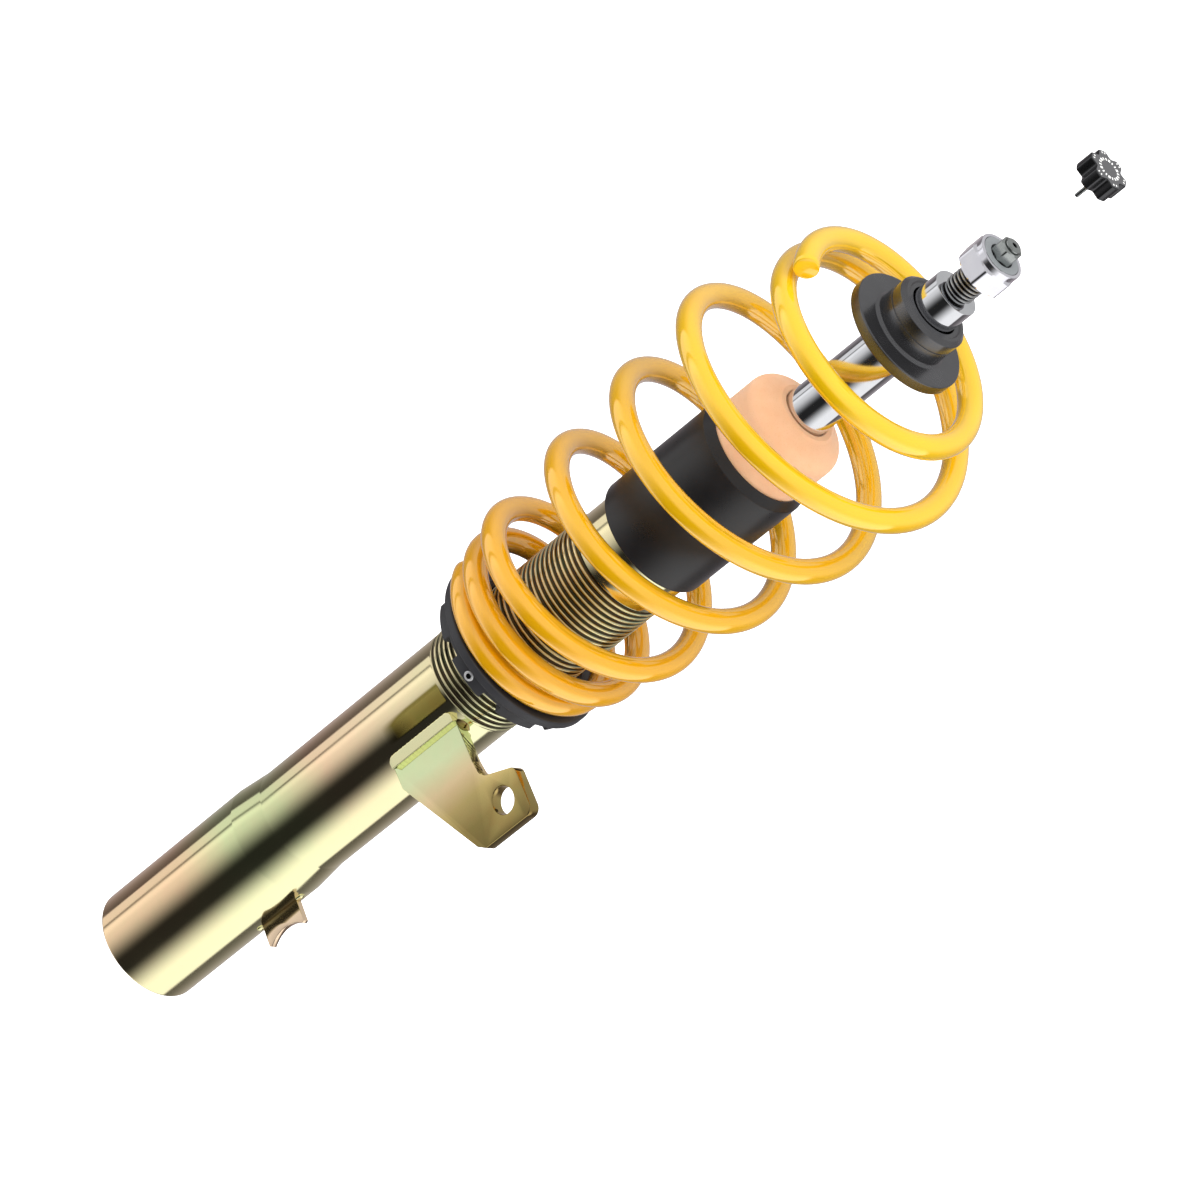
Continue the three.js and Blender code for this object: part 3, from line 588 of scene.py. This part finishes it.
# name, bottom, top, middle angle, width, height, radius of the wall below it, look, the node it stands for
for name, *sizes, look, node in (
        ("bracketWeldRear", 183.6, 221.0, -52.6, 5.6, 1.8, 25.7, weldZinc, "bracket_weld_rear"),
        ("bracketWeldEnd", 219.6, 225.2, -64.5, 9.0, 0.8, 25.7, brownZinc, None),
        ("tabWeldUpper", 86.6, 91.6, -20.5, 4.2, 1.2, 27.4, weldZinc, "tab_weld_upper"),
        ("tabWeldLower", 59.4, 64.2, -20.5, 4.2, 1.2, 27.4, weldZinc, "tab_weld_lower")):
    fitPiece(bead(name, *sizes), "strut", "yellow_zinc", look, *([node] if node else []))
print("stage: bracket, tab and welds")

# piston rod: ground shaft, shoulder, threaded stud and hexagon tip
rodSizes = {
    "radius": 11.0, "shoulder": 527.5, "spigot": 6.0, "foot": 322.0,
    "stud": 6.9, "studTop": 551.6, "pitch": 2.0, "depth": 1.1,
    "tipFlats": 10.0, "tipTurn": -90.0, "tipEnd": 560.6, "nose": 3.9, "keyHole": 1.2, "keyDepth": 10.5,
}


def rodShaft():
    # solid bar with a groove under the collar and a broken edge at the shoulder; both ends closed flat
    size = rodSizes
    bottom = reach("piston_rod")[0]
    groove = reach("top_collar")[0] + 2.3
    radius = size["radius"]
    return turned("rodShaft", [
        (0.4, bottom, 0), (size["spigot"], bottom, 0.6), (size["spigot"], size["foot"], 0.2),
        (radius, size["foot"], 0.6), (radius, groove - 1.1, 0.1), (radius - 0.8, groove - 1.1, 0.1),
        (radius - 0.8, groove + 1.1, 0.1), (radius, groove + 1.1, 0.1), (radius, size["shoulder"], 0.25),
        (0.4, size["shoulder"], 0),
    ], closed=False)


def rodStud():
    # thread: crest - depth x (1 - wave), drawn down to the root over the last turn
    size = rodSizes
    height = np.linspace(size["shoulder"] - 1, size["studTop"], 150)[:, None]
    angle = wholeTurn(96)[None]
    radius = size["stud"] - size["depth"] * (1 - threadWave(angle, height, size["pitch"], 1.4))
    radius = radius - 0.9 * smooth(height, size["studTop"] - 1.4, size["studTop"])
    runOut = 1 - smooth(height, size["shoulder"] + 0.4, size["shoulder"] + 2.2)
    radius = radius + (size["stud"] - size["depth"] - radius) * runOut
    return skin("rodStud", spin(radius, height, angle), False, 60)


def rodTip():
    # the smaller of a hexagon and a turned cone, then the ring groove, the nose and the key hole in its end
    size = rodSizes
    top = reach("piston_rod")[1]
    end = size["tipEnd"]
    corner = size["tipFlats"] / math.sqrt(3)
    angle = hexTurns(size["tipTurn"], 19, 9.0)
    turnedLine = rounded([
        (4.4, size["studTop"] - 2.2, 0), (corner + 0.2, size["studTop"] - 2.2, 0.2), (corner + 0.2, end - 0.9, 0.4),
        (4.75, end, 0.3), (size["nose"] + 0.35, end, 0.1), (size["nose"] + 0.3, end - 0.5, 0.1),
        (size["nose"], end - 0.5, 0.1), (size["nose"], top - 0.35, 0.9), (size["keyHole"] + 0.25, top, 0.1),
        (size["keyHole"], top - 0.3, 0.1), (size["keyHole"], top - size["keyDepth"], 0.1),
        (0.2, top - size["keyDepth"], 0),
    ], closed=False)
    radius = np.minimum(turnedLine[:, :1], hexRadius(angle, size["tipFlats"], size["tipTurn"], 1.2))
    return skin("rodTip", spin(radius, turnedLine[:, 1:], angle), False, 28)


fitPiece(rodShaft(), "rod", "hard_chrome", hardChrome, "piston_rod")
fitPiece(rodStud(), "rod", "plain_steel", studSteel, "piston_rod")
fitPiece(rodTip(), "rod", "plain_steel", tipSteel, "piston_rod")

# collar and nut on the rod's top
collarSizes = {
    "flange": 5.3, "step": 18.9, "stepRise": 0.5, "boss": 17.6, "bore": 11.65, "groove": 508.2, "chamfer": 1.9,
}


def topCollar():
    size = collarSizes
    bottom, top, radius = reach("top_collar")
    flangeTop = bottom + size["flange"]
    stepTop = flangeTop + size["stepRise"]
    step, boss, bore, groove, chamfer = (size[key] for key in ("step", "boss", "bore", "groove", "chamfer"))
    return turned("topCollar", [
        (bore, bottom + 3.7, 0.2), (14.3, bottom + 3.7, 0.2), (14.3, bottom, 0.3), (radius, bottom, 0.7),
        (radius, flangeTop, 0.5), (step + 0.2, flangeTop, 0.2), (step - 0.5, stepTop, 0.4),
        (boss + 0.1, stepTop + 0.4, 0.7), (boss, groove - 0.35, 0.1), (boss - 0.35, groove - 0.2, 0.1),
        (boss - 0.35, groove + 0.2, 0.1), (boss, groove + 0.35, 0.1), (boss, top - chamfer, 0.3),
        (boss - chamfer, top, 0.3), (bore + 2.6, top, 0.2), (bore + 1.9, top - 0.7, 0.2), (bore, top - 0.7, 0.2),
    ], 160, 28)


nutSizes = {"flats": 22.0, "turn": -84.5, "hexHeight": 10.3, "dome": 11.1, "bore": 7.2, "insert": 9.4, "chamfer": 1.7,
            "corner": 1.8, "insertBore": 5.75}


def topNut():
    # the smaller of a hexagon and a chamfered barrel up to the hexagon's top; above it the round dome and its bore
    size = nutSizes
    bottom, top, _ = reach("top_nut")
    hexTop = bottom + size["hexHeight"]
    corner = size["flats"] / math.sqrt(3) + 0.05
    chamfered = corner - 0.05 - size["chamfer"]
    line = rounded([
        (size["bore"], bottom, 0.5), (chamfered, bottom, 0.2), (corner, bottom + 1.05, 0.4),
        (corner, hexTop - 1.05, 0.4), (chamfered, hexTop, 0.2), (size["dome"], hexTop, 0.4),
        (size["dome"], top, 0.8), (size["insert"], top, 0.5), (size["insert"], hexTop, 0.1),
        (size["bore"], hexTop, 0.1),
    ], steps=7)
    angle = hexTurns(size["turn"], 19, 6.0)
    radius = np.minimum(line[:, :1], hexRadius(angle, size["flats"], size["turn"], size["corner"]))
    return skin("topNut", spin(radius, line[:, 1:], angle), True, 24)


def nutInsert():
    bottom = reach("nut_insert")[0]
    top = reach("top_nut")[1] - 0.12
    outer = nutSizes["insert"] - 0.1
    bore = nutSizes["insertBore"]
    return turned("nutInsert", [
        (bore, bottom + 0.1, 0.1), (outer, bottom + 0.1, 0.1), (outer, top, 0.15), (bore, top, 0.3)], 96)


fitPiece(topCollar(), "rod", "black_anodised", anodised, "top_collar")
fitPiece(topNut(), "rod", "bright_zinc", brightZinc, "top_nut")
fitPiece(nutInsert(), "rod", "black_nylon", insertNylon, "nut_insert")
print("stage: rod, collar and nut")

# rebound knob and its pin
knobSizes = {
    "lobes": 6, "turn": -38.0, "hollow": 1.7, "edge": 0.45,
    "ringRadius": 5.0, "ticks": 18, "tick": (0.75, 1.35), "rimRadius": 8.3, "rimTick": (0.55, 0.9),
    "waist": 0.55, "hole": 1.25, "rimAngle": 5.5,
}


def knobBody():
    # a turned blank whose rings are drawn in to the outline radius - hollow x (1 - min(1, wave + waist)), where
    # the wave has one crest for each lobe
    size = knobSizes
    low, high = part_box("rebound_knob")
    bottom, top = low.z / mm, high.z / mm - 0.06
    radius = max(high.x, -low.x, high.y, -low.y) / mm
    angle = wholeTurn(240)[None]
    wave = np.cos(size["lobes"] * (angle - math.radians(size["turn"])))
    lobed = radius - size["hollow"] * (1 - np.minimum(1, wave + size["waist"]))
    line = rounded([
        (size["hole"], bottom, 0.2), (radius - 0.4, bottom, 0.2), (radius, bottom + 0.4, 0.3),
        (radius, top - size["edge"], 0.3), (radius - size["edge"], top, 0.2), (7.4, top, 0.1), (0.5, top, 0),
    ], closed=False)
    share = np.clip(line[:, :1] / radius, 0, 1)
    pulled = 1 - (1 - lobed / radius) * smooth(share, 0.3, 0.9)
    return skin("reboundKnob", spin(line[:, :1] * pulled, line[:, 1:], angle))


def bar(radius, turn, length, width, top):
    # the 8 corners of one flat printed stroke on a circle, and its faces counted from zero
    lengthways = np.array([math.cos(turn), math.sin(turn)])
    across = np.array([-lengthways[1], lengthways[0]])
    sign = np.array([(-1, -1), (1, -1), (1, 1), (-1, 1)]) / 2
    flat = (radius + sign[:, :1] * length) * lengthways + sign[:, 1:] * width * across
    points = np.vstack([np.column_stack([flat, np.full(4, top - 0.16)]), np.column_stack([flat, np.full(4, top)])])
    faces = np.array([(3, 2, 1, 0), (4, 5, 6, 7), (0, 1, 5, 4), (1, 2, 6, 5), (2, 3, 7, 6), (3, 0, 4, 7)])
    return points, faces


def knobMarks():
    # a ring of ticks for the clicks, every third one broader, and a pair of small ticks on each lobe
    size = knobSizes
    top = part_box("rebound_knob")[1].z / mm
    strokes = []
    for i in range(size["ticks"]):
        turn = tau * i / size["ticks"]
        wide, tall = size["tick"]
        strokes.append(bar(size["ringRadius"], turn, tall, wide * (1.5 if i % 3 == 0 else 0.8), top))
    for lobe in range(size["lobes"]):
        for side in (-1, 1):
            turn = math.radians(size["turn"] + 360 / size["lobes"] * lobe + side * size["rimAngle"])
            strokes.append(bar(size["rimRadius"], turn, size["rimTick"][1], size["rimTick"][0], top))
    points = np.vstack([stroke[0] for stroke in strokes])
    faces = np.vstack([stroke[1] + 8 * i for i, stroke in enumerate(strokes)])
    return makeMesh("knobMarks", points, faces.tolist(), 30)


def knobPin():
    bottom, top, _ = reach("knob_pin")
    line = rounded([(0.2, bottom, 0), (0.9, bottom, 0.3), (0.9, top, 0.1), (0.2, top, 0)], closed=False)
    angle = wholeTurn(36)[None]
    radius = np.minimum(line[:, :1], hexRadius(angle, 1.65, 0))
    return skin("knobPin", spin(radius, line[:, 1:], angle), False, 25)


knob = fitPiece(knobBody(), "knob", "black_anodised", knobBlack, "rebound_knob")
# the top face's lighter grey is painted light; its duller finish is the face's own
knob.data.materials.append(knobFace)  # the flat top is duller than the lobes
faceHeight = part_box("rebound_knob")[1].z - 0.1 * mm
middles = np.empty(len(knob.data.polygons) * 3)
knob.data.polygons.foreach_get("center", middles)
onFace = (middles[2::3] > faceHeight).astype(np.int32)
knob.data.polygons.foreach_set("material_index", onFace)
fitPiece(knobMarks(), "knob", "black_anodised", printWhite)
fitPiece(knobPin(), "knob", "plain_steel", tipSteel, "knob_pin")
print("stage: knob")

# coil spring
springSizes = {
    "wire": 5.5, "offset": -2.1, "startTurn": -0.46, "endTurn": 6.575, "foot": 264.9,
    "footTurn": -0.16, "footPitch": 15.9, "openTurn": 1.53, "openPitch": 47.4, "closeTurn": 5.47, "closePitch": 12.8,
    "footRadius": 37.8, "perTurn": 5.4, "barrelEnd": 5.17, "topStart": 5.54, "topRadius": 49.0,
    "sides": 36, "rowsPerTurn": 96, "endRound": 0.7,
}


def ramp(value, soft):
    # max(value, 0) with its corner rounded over soft on each side
    return np.where(value < -soft, 0, np.where(value > soft, value, (value + soft) ** 2 / (4 * soft)))


def springLine(turn):
    # radius grows with the turns and then holds; height climbs at three pitches, closed, open and closed again
    size = springSizes
    closed = smooth(turn, size["barrelEnd"], size["topStart"])
    barrel = size["footRadius"] + size["perTurn"] * ramp(turn, 0.2)
    radius = barrel + (size["topRadius"] - barrel) * closed
    height = (size["foot"] + size["footPitch"] * ramp(turn - size["footTurn"], 0.2)
              + (size["openPitch"] - size["footPitch"]) * ramp(turn - size["openTurn"], 0.15)
              - (size["openPitch"] - size["closePitch"]) * ramp(turn - size["closeTurn"], 0.28))
    points = spin(radius, height, tau * turn)
    points[..., 0] += size["offset"]
    return points


def coilSpring():
    # a circle of wire radius carried along the line; each end is cut square and its rim rounded by a quarter arc
    size = springSizes
    rows = round((size["endTurn"] - size["startTurn"]) * size["rowsPerTurn"])
    turn = np.linspace(size["startTurn"], size["endTurn"], rows)
    centre = springLine(turn)
    step = 1e-4
    tangent = springLine(turn + step) - springLine(turn - step)
    tangent /= np.linalg.norm(tangent, axis=1)[:, None]
    outward = spin(1, 0, tau * turn)
    side = np.cross(tangent, outward)
    side /= np.linalg.norm(side, axis=1)[:, None]
    outward = np.cross(side, tangent)
    bend = np.linspace(math.pi / 2, 0, 5)[:-1]  # the rim's quarter arc
    inset, drop = size["endRound"] * (1 - np.sin(bend)), size["endRound"] * (1 - np.cos(bend))
    pad = len(bend)
    row = np.concatenate([np.zeros(pad, int), np.arange(1, rows - 1), np.full(pad, rows - 1)])
    push, radius = np.zeros(len(row)), np.full(len(row), size["wire"])
    push[:pad], push[-pad:] = inset, -inset[::-1]
    radius[:pad] -= drop
    radius[-pad:] -= drop[::-1]
    centre, outward, side = centre[row] + tangent[row] * push[:, None], outward[row], side[row]
    around = wholeTurn(size["sides"])[None, :, None]
    ring = np.cos(around) * outward[:, None] + np.sin(around) * side[:, None]
    return skin("coilSpring", centre[:, None] + radius[:, None, None] * ring, False, 40)


spring = fitPiece(coilSpring(), "spring", "yellow_powder_coat", springCoat, "coil_spring")
print("stage: spring")

# spring perch and lock screw
perchSizes = {
    "bore": 26.35, "skirt": 37.6, "flangeRise": 7.9, "flangeTop": 12.1, "collar": 29.8,
    "screwStand": 0.45, "slots": 8, "slotWidth": 15.0, "slotDepth": 3.5, "slotTurn": -28.0,
}


def springPerch():
    # a closed profile carried round the thread; in each slot the underside is lifted by the slot's depth
    size = perchSizes
    bottom, top, flange = reach("spring_perch")
    pitch = 360 / size["slots"]
    edges = (size["slotTurn"] - pitch * np.arange(size["slots"])[:, None]
             + np.array([-1.012, -0.988, 0.988, 1.012])[None] * size["slotWidth"] / 2).ravel()
    angle = np.radians(np.unique(np.round(np.concatenate([np.arange(0, 360, 1.5), edges % 360]), 4)))
    inSlot = (np.degrees(angle) - size["slotTurn"] + pitch / 2) % pitch - pitch / 2
    lift = size["slotDepth"] * (np.abs(inSlot) < size["slotWidth"] / 2)
    flangeBottom, flangeTop = bottom + size["flangeRise"], bottom + size["flangeTop"]
    line = rounded([
        (size["bore"], bottom, 0.4), (size["skirt"], bottom, 0.7), (size["skirt"], flangeBottom, 0.5),
        (flange, flangeBottom, 0.7), (flange, flangeTop, 0.9), (size["collar"], flangeTop, 1.2),
        (size["collar"], top, 1.0), (size["bore"], top, 0.4),
    ])
    height = np.broadcast_to(line[:, 1:], (len(line), len(angle))).copy()
    low = line[:, 1] < bottom + 2
    height[low] += lift[None]
    return skin("springPerch", spin(line[:, :1], height, angle[None]), True, 28)


screwSizes = {"tip": 28.0, "barrel": 1.75, "ring": 2.3, "face": 1.6, "mouth": 1.3, "flats": 2.3,
              "end": perchSizes["skirt"] + perchSizes["screwStand"]}


def onScrewLine(radius, height, angle):
    # x across, y up and z out along the lock screw's own line, which points straight out of the perch
    low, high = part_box("lock_screw")
    middle = (low + high) / 2 / mm
    turn = math.atan2(middle.y, middle.x)
    out = np.array([math.cos(turn), math.sin(turn), 0])
    across = np.array([-out[1], out[0], 0])
    local = spin(radius, height, angle)
    return local[..., :1] * across + local[..., 1:2] * [0, 0, 1] + local[..., 2:] * out + [0, 0, middle.z]


def lockScrew():
    # cone tip, barrel, ring face and the mouth of the socket
    tip, barrel, ring, face, mouth, _, end = screwSizes.values()
    line = rounded([
        (0.3, tip, 0), (barrel, tip + 1.2, 0.2), (barrel, end - 2.5, 0.1), (ring, end - 2.4, 0.1),
        (ring, end - 0.4, 0.1), (ring - 0.4, end, 0.2), (face, end, 0.1), (mouth, end - 0.25, 0.05),
        (mouth, end - 0.3, 0.05), (0.2, end - 0.3, 0)], closed=False, steps=3)
    return skin("lockScrew", onScrewLine(line[:, :1], line[:, 1:], wholeTurn(48)[None]), False, 30)


def screwSocket():
    # the hexagon socket, drawn as a black hexagonal plug whose face lies just under the ring's: a painted shade that
    # stands in for the shaded depth of the socket
    mouth, end = screwSizes["mouth"], screwSizes["end"]
    line = np.array([(0.1, end - 1.6), (mouth, end - 1.6), (mouth, end - 0.22), (mouth - 0.08, end - 0.16),
                     (0.1, end - 0.16)])
    angle = wholeTurn(36)[None]
    ring = np.minimum(line[:, :1], hexRadius(angle, screwSizes["flats"], 0))
    return skin("screwSocket", onScrewLine(ring, line[:, 1:], angle), False, 30)


fitPiece(springPerch(), "perch", "black_nylon", perchNylon, "spring_perch")
fitPiece(lockScrew(), "lock", "bright_zinc", screwZinc, "lock_screw")
# the socket's near-black plug is painted shade
fitPiece(screwSocket(), "lock", "bright_zinc", socketShade)
print("stage: perch")

# dust sleeve and bump stop
sleeveSizes = {"shoulder": 405.5, "bore": 26.7, "bottomRound": 2.6, "topRadius": 25.5}


def dustSleeve():
    size = sleeveSizes
    bottom, top, radius = reach("dust_sleeve")
    return turned("dustSleeve", [
        (26.5, bottom, 0.4), (radius, bottom, size["bottomRound"]), (radius, size["shoulder"], 0.9),
        (size["topRadius"] + 0.2, top, 0.4), (size["topRadius"] - 0.25, top, 0.15),
        (size["topRadius"] - 0.25, top - 2, 0.2), (size["bore"], size["shoulder"] - 1, 0.3),
        (size["bore"], bottom + 2, 0.3),
    ], 160, 30)


bumpSizes = {"shoulder": 430.5, "lip": 14.4, "bore": 11.2}


def bumpStop():
    size = bumpSizes
    bottom, top, radius = reach("bump_stop")
    return turned("bumpStop", [
        (size["bore"], bottom, 0.5), (radius, bottom, 1.2), (radius, size["shoulder"] + 1.8, 6.5),
        (size["lip"] + 0.9, top - 1.0, 1.2), (size["lip"] - 0.4, top - 0.1, 0.6),
        (size["bore"] + 0.5, top - 0.1, 0.4), (size["bore"], top - 0.8, 0.3),
    ], 160, 40)


fitPiece(dustSleeve(), "strut", "black_sleeve", sleevePlastic, "dust_sleeve")
bump = fitPiece(bumpStop(), "bump", "peach_foam", bumpFoam, "bump_stop")
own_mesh(spring)
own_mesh(bump)
print("stage: sleeve and bump stop")

# the CAD parts that stay, each with its own finish
kept = {
    "base_cap": tubeZinc, "base_valve": sintered, "pressure_tube": barSteel, "rod_guide": sintered,
    "guide_bush": bushBronze, "rod_seal": rubber, "gland_nut": tubeZinc, "wiper_seal": rubber,
    "piston_band": bandPlastic, "piston": sintered, "rebound_shims": barSteel, "compression_shims": barSteel,
    "piston_nut": brightZinc, "rebound_stop": bandPlastic, "collar_ring": barSteel, "adjuster_needle": tipSteel,
}
for name, material in kept.items():
    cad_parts[name].material_slots[0].material = material
print("stage: inner parts")

# camera, floor and light
cameraView = {
    "place": (0.004705, -2.23529, 1.70271), "azimuth": -0.047, "elevation": 32.07, "roll": 51.169, "lens": 186.0,
}
azimuth, elevation = math.radians(cameraView["azimuth"]), math.radians(cameraView["elevation"])
flat = Vector((math.sin(azimuth), -math.cos(azimuth), 0)) * math.cos(elevation)
back = flat + Vector((0, 0, math.sin(elevation)))
level = Vector((0, 0, 1)).cross(back).normalized()
turn = Matrix.Rotation(math.radians(cameraView["roll"]), 4, back)
right, above = turn @ level, turn @ back.cross(level)
camera = addObject("camera", bpy.data.cameras.new("camera"))
camera.data.lens = cameraView["lens"]
camera.data.sensor_width = 36
camera.data.clip_start, camera.data.clip_end = 0.05, 60
camera.matrix_world = Matrix((right, above, back)).transposed().to_4x4()
camera.location = cameraView["place"]
bpy.context.scene.camera = camera

floorSizes = {"height": -0.62, "half": 9.0}  # m
half, low = floorSizes["half"], floorSizes["height"]
floorMesh = bpy.data.meshes.new("studioFloor")
corners = [(-half, -half, low), (half, -half, low), (half, half, low), (-half, half, low)]
floorMesh.from_pydata(corners, [], [(0, 1, 2, 3)])
floor = addObject("studioFloor", floorMesh)
floorMesh.materials.append(startMaterial("backdropPaper", {
    "Base Color": "#f4f4f4", "Roughness": 0.9, "Emission Color": "#ffffff", "Emission Strength": 0.75})[0])
floor.visible_glossy = floor.visible_diffuse = floor.visible_shadow = False
floor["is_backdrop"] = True

lightLook = {
    "camera": 1.0,  # what the background shows
    "sideHigh": 1.06, "sideLeft": 0.80,  # the two tall softboxes
    "edge": 0.08,  # the dark room beyond them
    "ceiling": 0.55,
    "diffuse": 2.1,  # fill for matt surfaces
    "keyWatts": 40.0, "keyTilt": 72, "keyFar": 2.4, "keySides": (2.6, 1.0),  # the overhead box, m and degrees
}
world = bpy.data.worlds.new("studio")
bpy.context.scene.world = world
world.use_nodes = True
sky = world.node_tree
sky.nodes.clear()
parts = addNode(sky, "SeparateXYZ", [addNode(sky, "TexCoord")["Generated"]])
flip = addNode(sky, "Math", [parts["Y"], -1.0], operation="MULTIPLY")[0]
around = addNode(sky, "Math", [parts["X"], flip], operation="ARCTAN2")[0]
degrees = addNode(sky, "Math", [around, 180 / math.pi], operation="MULTIPLY")[0]


def softEdge(start, end, before, after):
    # light that goes smoothly from one level to another between two directions, in degrees from the camera's side
    return addNode(sky, "MapRange", [degrees, start, end, before, after], interpolation_type="SMOOTHSTEP")[0]


beyond = addNode(sky, "Math", [softEdge(102, 108, 0.0, 1.0), softEdge(-110, -106, 1.0, 0.0)], operation="ADD")[0]
# a dark flag stands in front of the left box and gives the tube its dark line
flag = addNode(sky, "Math", [softEdge(-89, -86, 1.0, 0.3), softEdge(-84, -81, 0.0, 0.7)], operation="ADD")[0]
leftStop = addNode(sky, "Math", [softEdge(-110, -106, 0.0, 1.0), flag], operation="MULTIPLY")[0]
sides = 0.02
for first, second in (
        (softEdge(10, 66, 0.0, lightLook["sideHigh"]), softEdge(102, 108, 1.0, 0.0)),
        (softEdge(-66, -10, lightLook["sideLeft"], 0.0), leftStop),
        (softEdge(-81, -78, 0.0, 1.0), softEdge(-76, -62, 0.2, 0.0)),
        (softEdge(100, 180, 0.0, 0.4), 1.0), (softEdge(-180, -100, 0.4, 0.0), 1.0),
        (beyond, lightLook["edge"])):
    sides = addNode(sky, "Math", [first, second, sides], operation="MULTIPLY_ADD")[0]
# above the horizon the boxes fade into a softer, more even ceiling
ceiling = addNode(sky, "MapRange", [parts["Z"], -0.1, 0.5, 0.0, 1.0], interpolation_type="SMOOTHSTEP")[0]
even = addNode(sky, "Mix", {0: ceiling, 2: sides, 3: lightLook["ceiling"]}, data_type="FLOAT")[0]
forMatt = addNode(sky, "Math", [even, lightLook["diffuse"]], operation="MULTIPLY")[0]
rays = addNode(sky, "LightPath")
lit = addNode(sky, "Mix", {0: rays["Is Glossy Ray"], 2: forMatt, 3: even}, data_type="FLOAT")[0]
shown = addNode(sky, "Mix", {0: rays["Is Camera Ray"], 2: lit, 3: lightLook["camera"]}, data_type="FLOAT")[0]
# below the horizon the room beyond the boxes is faintly violet
notHigh = addNode(sky, "Math", [1.0, ceiling], operation="SUBTRACT")[0]
lowRoom = addNode(sky, "Math", [beyond, notHigh], operation="MULTIPLY")[0]
wash = addNode(sky, "Mix", {0: lowRoom, 6: "#ffffff", 7: "#fcf2f6"}, data_type="RGBA")[2]
hue = addNode(sky, "Mix", {0: rays["Is Camera Ray"], 6: wash, 7: "#ffffff"}, data_type="RGBA")[2]
addNode(sky, "OutputWorld", [addNode(sky, "Background", {"Strength": shown, "Color": hue})[0]])

# the overhead box lights matt surfaces only, so that it leaves no white spot in the gloss
keyLight = bpy.data.lights.new("overheadBox", "AREA")
keyLight.shape = "RECTANGLE"
keyLight.size, keyLight.size_y = lightLook["keySides"]
keyLight.energy = lightLook["keyWatts"]
key = addObject("overheadBox", keyLight)
tilt = math.radians(lightLook["keyTilt"])
aim = Vector((0, -math.cos(tilt), math.sin(tilt)))
key.location = Vector((0, 0, 0.3)) + aim * lightLook["keyFar"]
key.rotation_euler = aim.to_track_quat("Z", "X").to_euler()
key.visible_glossy = False

bpy.context.scene.view_settings.view_transform = "Standard"
print("stage: camera, floor and light")

low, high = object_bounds()
